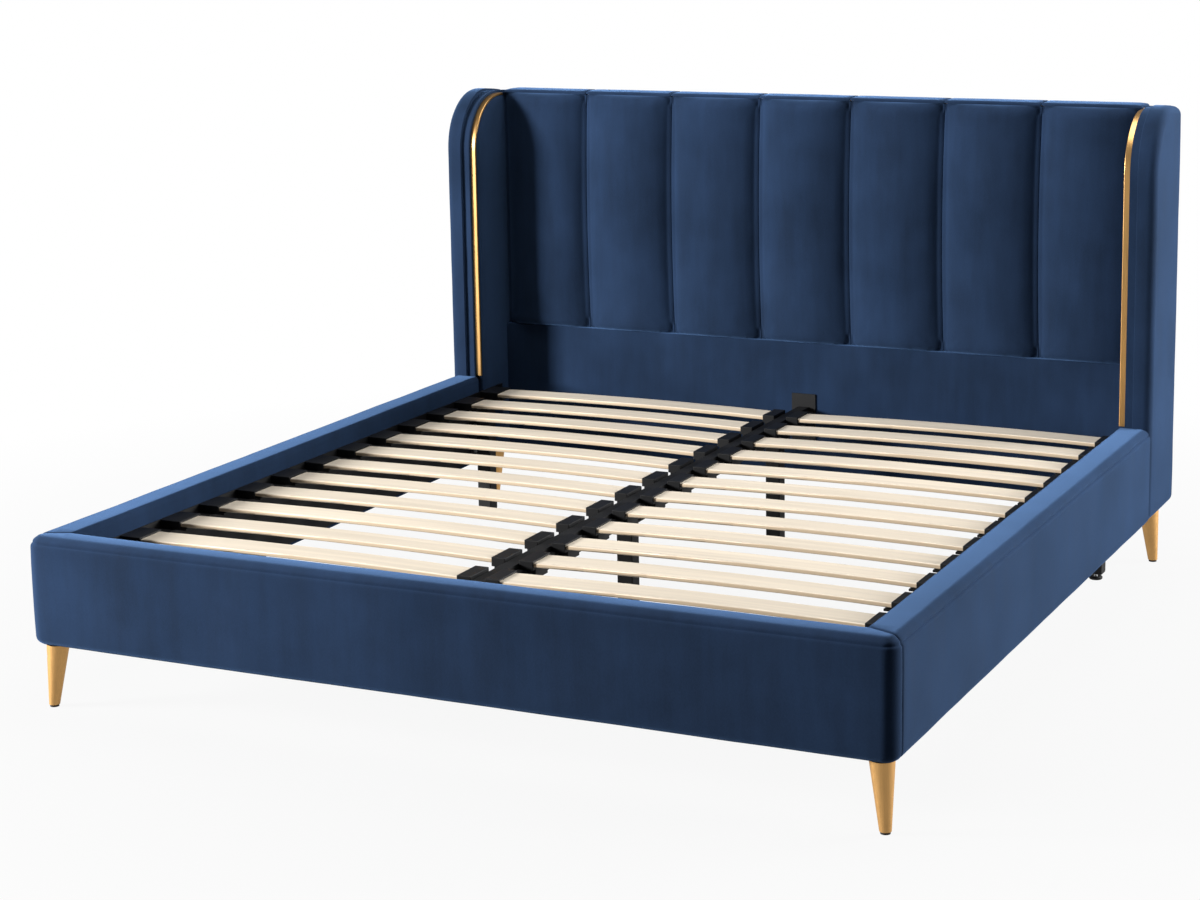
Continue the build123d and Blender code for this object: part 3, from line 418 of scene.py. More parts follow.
def finish_library():
    """Every material of the bed by a short name, made once."""
    if finishes:
        return finishes
    colours = bpy.context.scene.bed_colours
    softwood, veneer, rubber = (0.62, 0.42, 0.24), (0.66, 0.47, 0.29), (0.03, 0.026, 0.024)
    recipes = {
        "velvet": (
            velvet_finish, colours.velvet_dark, colours.velvet_light, colours.velvet_sheen),
        "brass_upright": (brass_finish, colours.brass, (900, 900, 14), (0.42, 0.54)),
        # The strips use the leg brass darkened to 0.85. This is painted shade that keeps them darker
        # than the legs under the same lamps.
        "brass_strip": (brass_finish, shade(colours.brass, 0.85), (1400, 12, 12), (0.28, 0.40)),
        "birch": (birch_finish, colours.birch),
        "plastic": (coated_finish, colours.plastic, (0.38, 0.52), 1100.0, 0.0002),
        "steel": (coated_finish, colours.steel, (0.48, 0.66), 1700.0, 0.0003),
        "glide": (coated_finish, rubber, (0.5, 0.7), 900.0, 0.0002),
        "timber_across": (timber_finish, softwood, (3, 60, 60)),
        "timber_long": (timber_finish, softwood, (60, 3, 60)),
        "plywood": (timber_finish, veneer, (50, 50, 4)),
        "zinc": (zinc_finish,),
        "lining": (lining_finish,),
    }
    for name, (make, *values) in recipes.items():
        finishes[name] = make(name, *values)
    return finishes


# Mesh helpers


def solid_block(low, high):
    """A bmesh box between two corners."""
    bm = bmesh.new()
    bmesh.ops.create_cube(bm, size=1.0)
    size = [b - a for a, b in zip(low, high)]
    middle = [(a + b) / 2 for a, b in zip(low, high)]
    bmesh.ops.scale(bm, vec=size, verts=bm.verts)
    bmesh.ops.translate(bm, vec=middle, verts=bm.verts)
    return bm


def at(value, place):
    """Whether a value lies at a place."""
    return abs(value - place) < TINY


def edges_where(bm, test):
    """Edges whose two ends both pass a test of their place."""
    return [e for e in bm.edges if all(test(v.co) for v in e.verts)]


def edges_along(bm, y, z):
    """Edges that run across the bed at one depth and one height."""
    return edges_where(bm, lambda c: at(c.y, y) and at(c.z, z))


def linked(name, data):
    """A new object in the scene."""
    item = bpy.data.objects.new(name, data)
    bpy.context.scene.collection.objects.link(item)
    return item


def rounded(bm, edges, radius, segments):
    """Bevel edges to a round."""
    bmesh.ops.bevel(
        bm, geom=edges, offset=radius, offset_type="OFFSET", segments=segments,
        profile=0.5, affect="EDGES", material=-1, clamp_overlap=True)


def cut(bm, normal, point, geometry=None):
    """Cut a mesh along a plane without opening it."""
    if geometry is None:
        geometry = bm.verts[:] + bm.edges[:] + bm.faces[:]
    bmesh.ops.bisect_plane(bm, geom=geometry, dist=TINY, plane_co=point, plane_no=normal)


def cut_rows(bm, axis, places):
    """Cut a mesh square to an axis at several places."""
    normal = Vector(Matrix.Identity(3)[axis])
    for place in places:
        cut(bm, normal, normal * place)


def spaced(low, high, step):
    """Even places inside a span, about a step apart."""
    count = max(1, round((high - low) / step))
    return [low + (high - low) * index / count for index in range(1, count)]


def split_wide_faces(bm):
    """Triangulate every face with more than four corners."""
    bmesh.ops.triangulate(bm, faces=[f for f in bm.faces if len(f.verts) > 4])


def drawn(bm, faces, vector):
    """Extrude faces along a vector and return the first new face."""
    made = bmesh.ops.extrude_face_region(bm, geom=faces)
    verts = [g for g in made["geom"] if isinstance(g, bmesh.types.BMVert)]
    bmesh.ops.translate(bm, vec=vector, verts=verts)
    return next(g for g in made["geom"] if isinstance(g, bmesh.types.BMFace))


def close_mesh(bm):
    """Weld doubles, close any hole and point all faces outwards."""
    bmesh.ops.remove_doubles(bm, verts=bm.verts, dist=TINY)
    open_edges = [e for e in bm.edges if len(e.link_faces) == 1]
    if open_edges:
        bmesh.ops.holes_fill(bm, edges=open_edges, sides=0)
    bmesh.ops.recalc_face_normals(bm, faces=bm.faces)
    bad = [e for e in bm.edges if len(e.link_faces) != 2]
    if bad:
        raise RuntimeError(f"a mesh has {len(bad)} edges that don't join two faces")


def push_out(bm, height):
    """Move every vertex along its normal by what a function of its place gives."""
    bm.normal_update()
    moves = [(v, v.normal * height(v.co)) for v in bm.verts]
    for v, move in moves:
        v.co += move


def pull_in(bm, distance, depth, width, pucker=0.3):
    """Pull a cover in along a seam. The distance function gives metres from the seam, or None."""

    def height(place):
        away = distance(place)
        if away is None or abs(away) > width * 3:
            return 0.0
        uneven = 1 + pucker * noise.noise(place * 55)
        return -depth * uneven * math.exp(-((away / width) ** 2))

    push_out(bm, height)


def waver(bm, amount, scale, keep=lambda place: 1.0):
    """Slow waviness of a cover over its padding, times a share for each place."""

    def height(place):
        swing = noise.noise(place * scale) + 0.5 * noise.noise(place * scale * 2.3)
        return amount * keep(place) * swing

    push_out(bm, height)


def hump(value, low, high, power=4):
    """One in the middle of a span, falling to zero at its ends."""
    place = 2 * (value - low) / (high - low) - 1
    return max(0.0, 1 - abs(place) ** power)


def add_piece(name, bm, finish, replaces=(), sharp=40):
    """Turn a bmesh into a piece of the bed that rides on its body."""
    split_wide_faces(bm)
    mesh = bpy.data.meshes.new(name)
    bm.to_mesh(mesh)
    bm.free()
    piece = linked(name, mesh)
    mesh.materials.append(finish_library()[finish])
    mesh.polygons.foreach_set("use_smooth", [True] * len(mesh.polygons))
    mesh.set_sharp_from_angle(angle=math.radians(sharp))
    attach(piece, BODY)
    if replaces:
        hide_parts(*replaces)
    return piece


def mirrored_mesh(bm):
    """A copy of a bmesh on the other side of the bed."""
    twin = bm.copy()
    bmesh.ops.scale(twin, vec=(-1, 1, 1), verts=twin.verts)
    bmesh.ops.reverse_faces(twin, faces=twin.faces)
    return twin


# Foot panel and rails


def ring_block():
    """Foot panel and rails as one block with square edges, open at the headboard."""
    bm = bmesh.new()
    xs = (-HALF_WIDTH, -HALF_WELL, HALF_WELL, HALF_WIDTH)
    ys = (FOOT_FRONT, FOOT_INNER, WING_FRONT)
    corner = [[bm.verts.new((x, y, FRAME_BOTTOM)) for y in ys] for x in xs]
    for column, row in ((0, 0), (1, 0), (2, 0), (0, 1), (2, 1)):
        bm.faces.new((
            corner[column][row], corner[column + 1][row],
            corner[column + 1][row + 1], corner[column][row + 1]))
    for v in [v for v in bm.verts if not v.link_faces]:
        bm.verts.remove(v)
    drawn(bm, bm.faces[:], (0, 0, RAIL_TOP - FRAME_BOTTOM))
    close_mesh(bm)
    return bm


def rim_edges(bm, level, outer):
    """Top or bottom edges of the ring, on its outer or its inner side."""
    chosen = []
    for e in edges_where(bm, lambda c: at(c.z, level)):
        for f in e.link_faces:
            middle = f.calc_center_median()
            at_end = f.normal.y > 0.5 and middle.y > 0
            if at_end or abs(f.normal.z) > 0.5:
                continue
            sideways = f.normal.x * math.copysign(1, middle.x)
            if (sideways > 0.05 or f.normal.y < -0.5) == outer:
                chosen.append(e)
    return chosen


def corner_seam(side):
    """A point and the plan direction across the corner seam on one side."""
    start = Vector((side * HALF_WELL, FOOT_INNER, 0))
    round_end = FOOT_FRONT + bpy.context.scene.bed_sizes.corner_radius + 0.003
    end = Vector((side * HALF_WIDTH, round_end, 0))
    along = (end - start).normalized()
    across = Vector((along.y, -along.x, 0)) * side
    return start, across


def near_corner(place, side):
    """Whether a place belongs to one foot corner."""
    reach = 0.16
    return place.x * side > HALF_WELL - reach / 4 and place.y < FOOT_INNER + reach


def faces_near_corner(bm, side):
    """Geometry of one foot corner."""
    faces = [f for f in bm.faces if near_corner(f.calc_center_median(), side)]
    edges = {e for f in faces for e in f.edges}
    verts = {v for f in faces for v in f.verts}
    return faces + list(edges) + list(verts)


def ring_cover():
    """The velvet of foot panel and rails in one mesh, with its seams pulled in."""
    sizes = bpy.context.scene.bed_sizes
    inner_bottom_radius, step, bottom_row, end_row = 0.006, 0.03, 0.02, 0.004
    bm = ring_block()
    uprights = edges_where(
        bm, lambda c: at(abs(c.x), HALF_WIDTH) and at(c.y, FOOT_FRONT))
    rounded(bm, uprights, sizes.corner_radius, segments=10)
    rounded(bm, rim_edges(bm, RAIL_TOP, True), sizes.top_outer_radius, segments=9)
    rounded(bm, rim_edges(bm, FRAME_BOTTOM, True), sizes.bottom_radius, segments=6)
    rounded(bm, rim_edges(bm, RAIL_TOP, False), sizes.top_inner_radius, segments=5)
    rounded(bm, rim_edges(bm, FRAME_BOTTOM, False), inner_bottom_radius, segments=3)
    seam_z = RAIL_TOP - sizes.seam_drop
    cut_rows(bm, 0, spaced(-HALF_WIDTH + step, HALF_WIDTH - step, step))
    cut_rows(bm, 1, spaced(FOOT_FRONT + step, WING_FRONT, step) + [WING_FRONT - end_row])
    cut_rows(bm, 2, spaced(FRAME_BOTTOM + bottom_row, RAIL_TOP - step, step))
    width = sizes.seam_width
    cut_rows(bm, 2, [seam_z + shift * width for shift in LONG_SEAM_CUTS])
    for side in (-1, 1):
        start, across = corner_seam(side)
        for shift in LONG_SEAM_CUTS:
            cut(bm, across, start + across * shift * width, faces_near_corner(bm, side))
    split_wide_faces(bm)

    def long_seam(place):
        inside = min(HALF_WIDTH - abs(place.x), place.y - FOOT_FRONT)
        return place.z - seam_z if inside < step else None

    def side_seam(side):
        start, across = corner_seam(side)
        return lambda place: (
            (place - start).dot(across) if near_corner(place, side) else None)

    mark_owners(bm)
    swell_cover(bm, sizes.cover_crown)
    pull_in(bm, long_seam, sizes.seam_depth, width)
    for side in (-1, 1):
        pull_in(bm, side_seam(side), sizes.seam_depth * 1.15, width * 1.1)
    return bm


def fixed_cover(place):
    """Whether a place of the ring lies flat against the lining or a wing."""
    reach, end_reach, lining_drop = 0.004, 0.006, 0.03
    inside = abs(place.x) < HALF_WELL + reach and place.y > FOOT_INNER - reach
    return place.y > WING_FRONT - end_reach or (inside and place.z < RAIL_TOP - lining_drop)


def swell_cover(bm, crown):
    """Swell the ring's flat sides a little and let them waver."""
    bm.normal_update()
    for v in bm.verts:
        if fixed_cover(v.co):
            continue
        share = hump(v.co.z, FRAME_BOTTOM, RAIL_TOP) if abs(v.normal.z) < 0.9 else 0.5
        v.co += v.normal * crown * share
    waver(bm, amount=0.0007, scale=7.0, keep=lambda c: 0.0 if fixed_cover(c) else 1.0)


def mark_owners(bm):
    """Note on each face of the ring which cover it belongs to."""
    for f in bm.faces:
        middle = f.calc_center_median()
        f.material_index = 0
        for side in (-1, 1):
            start, across = corner_seam(side)
            if middle.x * side > HALF_WELL - TINY and (middle - start).dot(across) < 0:
                f.material_index = 1 if side < 0 else 2


def split_ring(bm, owner):
    """One cover of the ring, closed at its seams."""
    piece = bm.copy()
    others = [f for f in piece.faces if f.material_index != owner]
    bmesh.ops.delete(piece, geom=others, context="FACES")
    for f in piece.faces:
        f.material_index = 0
    close_mesh(piece)
    return piece


# Headboard


def first_channel_block():
    """The leftmost channel solid of the frame as a closed mesh, moved to start at X zero."""
    bm = bmesh.new()
    bm.from_mesh(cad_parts["headboard_channels"].data)
    bmesh.ops.remove_doubles(bm, verts=bm.verts, dist=TINY / 10)
    others = [f for f in bm.faces if f.calc_center_median().x > channel_width() - HALF_WELL + TINY]
    bmesh.ops.delete(bm, geom=others, context="FACES")
    bmesh.ops.translate(bm, vec=(HALF_WELL, 0, 0), verts=bm.verts)
    return bm


def channel_width():
    """Width of one channel between its seams."""
    return 2 * HALF_WELL / bpy.context.scene.bed_sizes.channel_count


def remeshed(bm, voxel):
    """An even mesh over a closed block."""
    mesh = bpy.data.meshes.new("block")
    bm.to_mesh(mesh)
    bm.free()
    holder = linked("block", mesh)
    modifier = holder.modifiers.new("remesh", "REMESH")
    modifier.mode = "VOXEL"
    modifier.voxel_size = voxel
    graph = bpy.context.evaluated_depsgraph_get()
    even = bpy.data.meshes.new_from_object(holder.evaluated_get(graph))
    bpy.data.objects.remove(holder)
    return even


def mesh_points(mesh):
    """Vertices of a mesh as an array."""
    points = np.zeros(len(mesh.vertices) * 3)
    mesh.vertices.foreach_get("co", points)
    return points.reshape(-1, 3)


def fill_with_pressure(mesh, pinned, pressure, cap):
    """Blow up a closed cloth by pressure, with some points held, and return its points."""
    frames = 20
    holder = linked("filling", mesh)
    group = holder.vertex_groups.new(name="held")
    group.add([int(i) for i in np.nonzero(pinned)[0]], 1.0, "REPLACE")
    cloth = holder.modifiers.new("cloth", "CLOTH")
    cloth.settings.effector_weights.gravity = 0.0
    for label, value in (
        ("quality", 5), ("mass", 0.25), ("use_pressure", True),
        ("uniform_pressure_force", pressure), ("vertex_group_mass", "held"),
        ("tension_stiffness", 12), ("compression_stiffness", 12), ("shear_stiffness", 4),
        ("bending_stiffness", 0.6),
    ):
        setattr(cloth.settings, label, value)
    cloth.point_cache.frame_start = 1
    cloth.point_cache.frame_end = frames
    scene = bpy.context.scene
    for step in range(frames):
        scene.frame_set(step + 1)
    graph = bpy.context.evaluated_depsgraph_get()
    filled = bpy.data.meshes.new_from_object(holder.evaluated_get(graph))
    scene.frame_set(1)
    start, end = mesh_points(mesh), mesh_points(filled)
    bpy.data.objects.remove(holder)
    move = end - start
    length = np.linalg.norm(move, axis=1, keepdims=True)
    move *= np.minimum(1.0, cap / np.maximum(length, 1e-9))
    return start + move


def puffed_channel():
    """One channel filled by pressure, sewn down along its sides, as a mesh from X zero."""
    voxel, hem, hold_line, lift, pressure = 0.0065, 0.004, 1.020, 0.003, 4.0
    mesh = remeshed(first_channel_block(), voxel)
    points = mesh_points(mesh)
    front = points[:, 1] < hold_line
    points[front, 1] += lift
    mesh.vertices.foreach_set("co", points.ravel())
    across, height = points[:, 0], points[:, 2]
    sides = np.minimum(across, channel_width() - across) < hem
    ends = np.minimum(height - channels_low.z, channels_high.z - height) < hem
    swell = bpy.context.scene.bed_sizes.channel_swell
    points = fill_with_pressure(mesh, ~front | sides | ends, pressure, swell)
    mesh.vertices.foreach_set("co", channel_form(points).ravel())
    return mesh


def channel_form(points):
    """Round a channel out between its seams and at its ends, and keep it inside its own width."""
    out = points.copy()
    width = channel_width()
    crown, extra, sunk = CHANNEL_VALLEY - channels_low.y, 0.016, 0.007
    top_reach, bottom_reach, margin = 0.030, 0.018, 0.0004
    depth = np.clip((CHANNEL_VALLEY - out[:, 1]) / crown, 0, 1.25)
    across = 2 * out[:, 0] / width - 1
    top = np.clip((channels_high.z - out[:, 2]) / top_reach, 0, 1)
    bottom = np.clip((out[:, 2] - channels_low.z) / bottom_reach, 0, 1)
    at_top = 0.30 + 0.70 * np.sqrt(1 - (1 - top) ** 2)
    at_bottom = 0.55 + 0.45 * np.sqrt(1 - (1 - bottom) ** 2)
    front = depth > 0
    swell = extra * np.clip(1 - across ** 2, 0, 1)
    full = (crown * depth ** 0.75 + swell) * (at_top * at_bottom)
    out[front, 1] = (CHANNEL_VALLEY + sunk - full)[front]
    out[:, 0] = np.clip(out[:, 0], margin, width - margin)
    out[:, 2] = np.clip(out[:, 2], channels_low.z + margin / 2, channels_high.z - margin / 2)
    return out


def lean(places):
    """Bow the seams between the channels a little to the left at mid height."""
    most = 0.007
    rise = (places[:, 2] - channels_low.z) / (channels_high.z - channels_low.z)
    bow = 4 * rise * (1 - rise)
    inner = 1 - (np.abs(places[:, 0]) / HALF_WELL) ** 8
    places[:, 0] -= most * bow * inner
    return places


def place_channel(index, source):
    """One channel of the headboard from the filled mesh."""
    crest_line, wave_start, wave_run = 1.02, 1.015, 0.01
    points = mesh_points(source)
    width = channel_width()
    if index % 2:
        points[:, 0] = width - points[:, 0]
    points[:, 0] += -HALF_WELL + width * index
    mesh = source.copy()
    mesh.vertices.foreach_set("co", lean(points).ravel())
    bm = bmesh.new()
    bm.from_mesh(mesh)
    bpy.data.meshes.remove(mesh)
    if index % 2:
        bmesh.ops.reverse_faces(bm, faces=bm.faces)
    bmesh.ops.smooth_vert(
        bm, verts=[v for v in bm.verts if v.co.y < crest_line], factor=0.5,
        use_axis_x=True, use_axis_y=True, use_axis_z=True)
    waver(
        bm, amount=0.0011, scale=5.0,
        keep=lambda c: min(1.0, max(0.0, (wave_start - c.y) / wave_run)))
    replaced = ("headboard_channels",) if index == 0 else ()
    name = f"headboard_channel_{index + 1}"
    piece = add_piece(name, bm, "velvet", replaced, sharp=60)
    finer = piece.modifiers.new("finer", "SUBSURF")
    finer.levels = 1
    finer.render_levels = 1


def top_band_cover():
    """Padded band on top of the headboard, over the frame's ends and pulled in at the seams."""
    sizes = bpy.context.scene.bed_sizes
    edge_round, step = 0.0065, 0.02
    width = channel_width()
    seams = [-HALF_WELL + width * index for index in range(1, sizes.channel_count)]
    bm = solid_block(top_low, top_high)
    front_top = edges_along(bm, top_low.y, top_high.z)
    back_top = edges_along(bm, top_high.y, top_high.z)
    ends = [
        e for e in edges_where(bm, lambda c: at(c.z, top_high.z))
        if at(e.verts[0].co.x, e.verts[1].co.x)]
    rounded(bm, front_top + back_top + ends, edge_round, segments=6)
    cut_rows(bm, 0, spaced(-HALF_WELL, HALF_WELL, step))
    for seam in seams:
        cut_rows(bm, 0, [seam + shift * sizes.seam_width for shift in BAND_SEAM_CUTS])
    cut_rows(bm, 1, spaced(top_low.y + step / 2, top_high.y - step / 2, step))

    # A skirt laps over the timber behind the plywood, and the ends fall off
    skirt, timber_front, lap = 0.003, 0.027, (0.001, 0.005)
    crown, end_dip, dip_reach = 0.0010, 0.0020, 0.014
    cut_rows(bm, 0, [-HALF_WELL + skirt, HALF_WELL - skirt])
    cut_rows(bm, 1, [top_low.y + timber_front, top_high.y - skirt - 0.001])
    bm.normal_update()
    for v in bm.verts:
        behind = top_low.y + timber_front + TINY < v.co.y < top_high.y - skirt
        if behind and abs(v.co.x) > HALF_WELL - TINY and v.co.z < top_low.z + TINY:
            v.co += Vector((math.copysign(lap[0], v.co.x), 0, -lap[1]))
        elif v.co.z > top_low.z + 0.002:
            v.co.z += crown * hump(v.co.y, top_low.y, top_high.y, 2)
            v.co.z -= end_dip * math.exp(-(((HALF_WELL - abs(v.co.x)) / dip_reach) ** 2))
    for seam in seams:
        pull_in(bm, lambda c, seam=seam: c.x - seam, sizes.seam_depth * 0.9, sizes.seam_width)
    waver(bm, amount=0.0005, scale=9.0, keep=lambda c: 1.0 if c.z > top_low.z + 0.003 else 0.0)
    return bm


def lower_panel_cover():
    """Plain padded panel under the channels."""
    lip_round, step, top_row = 0.003, 0.03, 0.01
    bm = solid_block(lower_low, lower_high)
    rounded(bm, edges_along(bm, lower_low.y, lower_high.z), lip_round, segments=3)
    cut_rows(bm, 0, spaced(-HALF_WELL, HALF_WELL, step))
    cut_rows(bm, 2, spaced(lower_low.z, lower_high.z - top_row, step))
    waver(bm, amount=0.0008, scale=6.0, keep=lambda c: 1.0 if c.y < lower_low.y + lip_round else 0.0)
    return bm


def back_cloth():
    """Cloth over the back of the headboard, with a hem along its edges."""
    hem, step = 0.006, 0.04
    bm = solid_block(back_low, back_high)
    for axis in (0, 2):
        low, high = back_low[axis], back_high[axis]
        cut_rows(bm, axis, spaced(low, high, step) + [low + hem, high - hem])
    waver(bm, amount=0.0006, scale=5.0, keep=lambda c: 1.0 if c.y > back_high.y - 0.001 else 0.0)
    return bm


# Wings


def wing_side_block(x_low, x_high, front, back, bottom, top, radius):
    """Slab with the wing's side outline: upright front with a large round at its top."""
    bm = solid_block((x_low, front, bottom), (x_high, back, top))
    rounded(bm, edges_along(bm, front, top), radius, segments=22)
    return bm


def flat_rim(bm, x, skip):
    """Edges round one upright face of a slab, apart from those that a test leaves out."""
    rim = edges_where(bm, lambda c: at(c.x, x))
    return [e for e in rim if not skip((e.verts[0].co + e.verts[1].co) / 2)]


def wing_outer_cover():
    """Soft pad over the wing's outer side, front and top."""
    sizes = bpy.context.scene.bed_sizes
    corner_round, inner_round, crown, step, edge = 0.022, 0.013, 0.0012, 0.025, 0.01
    bm = wing_side_block(
        pad_low.x, pad_high.x, pad_low.y, pad_high.y, pad_low.z, pad_high.z,
        sizes.wing_front_radius)

    def corner(c):
        at_back = at(c.y, pad_high.y)
        at_end = at_back or at(c.y, pad_low.y)
        return (at(c.z, pad_low.z) and at_end) or (at(c.z, pad_high.z) and at_back)

    def held(c):
        return c.y > pad_high.y - edge or c.z < pad_low.z + edge

    across = [
        e for e in edges_where(bm, corner) if not at(e.verts[0].co.x, e.verts[1].co.x)]
    rounded(bm, across, corner_round, segments=6)
    rounded(bm, flat_rim(bm, pad_high.x, lambda c: False), sizes.wing_outer_round, segments=9)
    rounded(bm, flat_rim(bm, pad_low.x, held), inner_round, segments=5)
    cut_rows(bm, 2, spaced(pad_low.z + 0.02, pad_high.z - 0.03, step))
    cut_rows(bm, 1, spaced(pad_low.y + 0.03, pad_high.y - 0.03, step))
    split_wide_faces(bm)
    bm.normal_update()
    for v in bm.verts:
        side = hump(v.co.y, pad_low.y, pad_high.y, 4) * hump(v.co.z, pad_low.z, pad_high.z, 8)
        if v.normal.x > 0.3:
            v.co.x += crown * side
    fall_to_back(bm, drop=0.016)
    waver(bm, amount=0.0009, scale=6.0)
    return bm


def fall_to_back(bm, drop):
    """Let the top of a wing fall gently towards the back."""
    start, shoulder = pad_low.y + 0.100, 1.02
    for v in bm.verts:
        back = max(0.0, v.co.y - start) / (pad_high.y - start)
        high = min(1.0, max(0.0, (v.co.z - shoulder) / (pad_high.z - shoulder)))
        v.co.z -= drop * back ** 1.5 * high * high * (3 - 2 * high)


def arch_bar(x_low, x_high, front, back, bottom, top, radius, depth):
    """Bar that runs up the wing's front, round its top and back along the top."""
    bm = bmesh.new()
    section = [
        bm.verts.new(place) for place in (
            (x_low, front, bottom), (x_high, front, bottom),
            (x_high, front + depth, bottom), (x_low, front + depth, bottom))]
    rings = [bm.faces.new(section)]
    turn_z, step = top - radius, 0.03
    count = round((turn_z - bottom) / step)
    for _ in range(count):
        rings.append(drawn(bm, [rings[-1]], (0, 0, (turn_z - bottom) / count)))
    spun = bmesh.ops.spin(
        bm, geom=[rings[-1]], cent=(0, front + radius, turn_z), axis=(1, 0, 0), dvec=(0, 0, 0),
        angle=-math.pi / 2, space=Matrix.Identity(4), steps=22, use_merge=False,
        use_duplicate=False, use_normal_flip=False)
    rings.append([g for g in spun["geom_last"] if isinstance(g, bmesh.types.BMFace)][0])
    length = back - front - radius
    count = max(1, round(length / step))
    for _ in range(count):
        rings.append(drawn(bm, [rings[-1]], (0, length / count, 0)))
    inner = [f for f in rings[1:-1] if f.is_valid and all(len(e.link_faces) > 2 for e in f.edges)]
    if inner:
        bmesh.ops.delete(bm, geom=inner, context="FACES_ONLY")
    close_mesh(bm)
    return bm


def wing_band():
    """Narrow padded band between the outer pad and the metal strip."""
    sizes = bpy.context.scene.bed_sizes
    setback = band_low.y - pad_low.y
    bm = arch_bar(
        band_low.x, band_high.x, band_low.y, band_high.y, band_low.z, band_high.z,
        sizes.wing_front_radius - setback, depth=0.024)
    fall_to_back(bm, drop=0.007)
    waver(bm, amount=0.0003, scale=12.0)
    return bm


def wing_inner_cover():
    """Flat padded inner face of the wing, which rises to its full height behind the strip."""
    sizes = bpy.context.scene.bed_sizes
    strip_depth, run, edge_round, step, edge = 0.006, 0.008, 0.004, 0.03, 0.01
    front = strip_low.y + strip_depth
    top = strip_high.z - strip_depth
    radius = sizes.wing_front_radius - (front - pad_low.y)
    bm = wing_side_block(
        inner_low.x, inner_high.x, front, inner_high.y, inner_low.z, top, radius)

    def held(c):
        return c.y > inner_high.y - edge or c.z < inner_low.z + edge

    rounded(bm, flat_rim(bm, inner_low.x, held), edge_round, segments=4)
    cut_rows(bm, 2, spaced(inner_low.z, top - edge, step))
    cut_rows(bm, 1, spaced(front + edge, inner_high.y, step))
    rise_start = strip_high.y + 0.001
    cut_rows(bm, 1, [rise_start, rise_start + run])
    split_wide_faces(bm)
    for v in bm.verts:
        if v.co.z > top - strip_depth:
            v.co.z += strip_depth * min(1.0, max(0.0, (v.co.y - rise_start) / run))
    waver(bm, amount=0.0003, scale=8.0)
    return bm


# Operators


class BED_OT_cover_foot_and_rails(bpy.types.Operator):
    """Make the velvet covers of the foot panel and both rails"""

    bl_idname = "bed.cover_foot_and_rails"
    bl_label = "Cover foot and rails"

    def execute(self, context):
        ring = ring_cover()
        for owner, part in enumerate(("foot_panel", "rail_left", "rail_right")):
            add_piece(
                part + "_velvet", split_ring(ring, owner), "velvet",
                (part + "_cover",))
        ring.free()
        return {"FINISHED"}


class BED_OT_line_inner_faces(bpy.types.Operator):
    """Staple the black lining to the inner faces of foot panel and rails"""

    bl_idname = "bed.line_inner_faces"
    bl_label = "Line inner faces"

    def execute(self, context):
        thick, step = 0.0012, 0.02
        low, high = lining_low.z, lining_high.z
        spans = {
            "lining_foot": (
                (-HALF_WELL, FOOT_INNER - thick, low),
                (HALF_WELL, FOOT_INNER + thick / 2, high)),
            "lining_left": (
                (-HALF_WELL - thick, FOOT_INNER, low),
                (-HALF_WELL + thick / 2, WING_FRONT, high)),
            "lining_right": (
                (HALF_WELL - thick / 2, FOOT_INNER, low),
                (HALF_WELL + thick, WING_FRONT, high)),
        }
        for name, (start, end) in spans.items():
            bm = solid_block(start, end)
            at_foot = name == "lining_foot"
            run = 0 if at_foot else 1
            cut_rows(bm, run, spaced(start[run], end[run], step))
            cut_rows(bm, 2, spaced(low, high, step))
            waver(bm, amount=0.0005, scale=14.0)
            piece = add_piece(
                name, bm, "lining", ("inner_linings",) if at_foot else ())
        return {"FINISHED"}


class BED_OT_stuff_channels(bpy.types.Operator):
    """Fill the seven channels of the headboard"""

    bl_idname = "bed.stuff_channels"
    bl_label = "Stuff channels"

    def execute(self, context):
        source = puffed_channel()
        for index in range(context.scene.bed_sizes.channel_count):
            place_channel(index, source)
        bpy.data.meshes.remove(source)
        return {"FINISHED"}


class BED_OT_close_headboard(bpy.types.Operator):
    """Add the top band, the plain lower panel and the back cover of the headboard"""

    bl_idname = "bed.close_headboard"
    bl_label = "Close headboard"

    def execute(self, context):
        for name, bm, slot, node, fill in (
            ("headboard_top_velvet", top_band_cover(), "velvet", "headboard_top_band", 0.6),
            ("headboard_lower_velvet", lower_panel_cover(), "velvet", "headboard_lower_pad", 0.35),
            ("headboard_back_fabric", back_cloth(), "back_fabric", "headboard_back_cover", 0.1),
        ):
            add_piece(name, bm, "velvet", (node,))
        return {"FINISHED"}


class BED_OT_pad_wings(bpy.types.Operator):
    """Make the outer pad, front band and inner pad of both wings"""

    bl_idname = "bed.pad_wings"
    bl_label = "Pad wings"

    def execute(self, context):
        makers = {
            "outer": (wing_outer_cover, "outer_pad", 0.8),
            "band": (wing_band, "front_band", 0.6),
            "inner": (wing_inner_cover, "inner_pad", 0.4),
        }
        for name, (maker, node, fill) in makers.items():
            right = maker()
            for side, bm in (("right", right), ("left", mirrored_mesh(right))):
                add_piece(
                    f"wing_{side}_{name}_velvet", bm, "velvet",
                    (f"wing_{side}_{node}",))
        return {"FINISHED"}


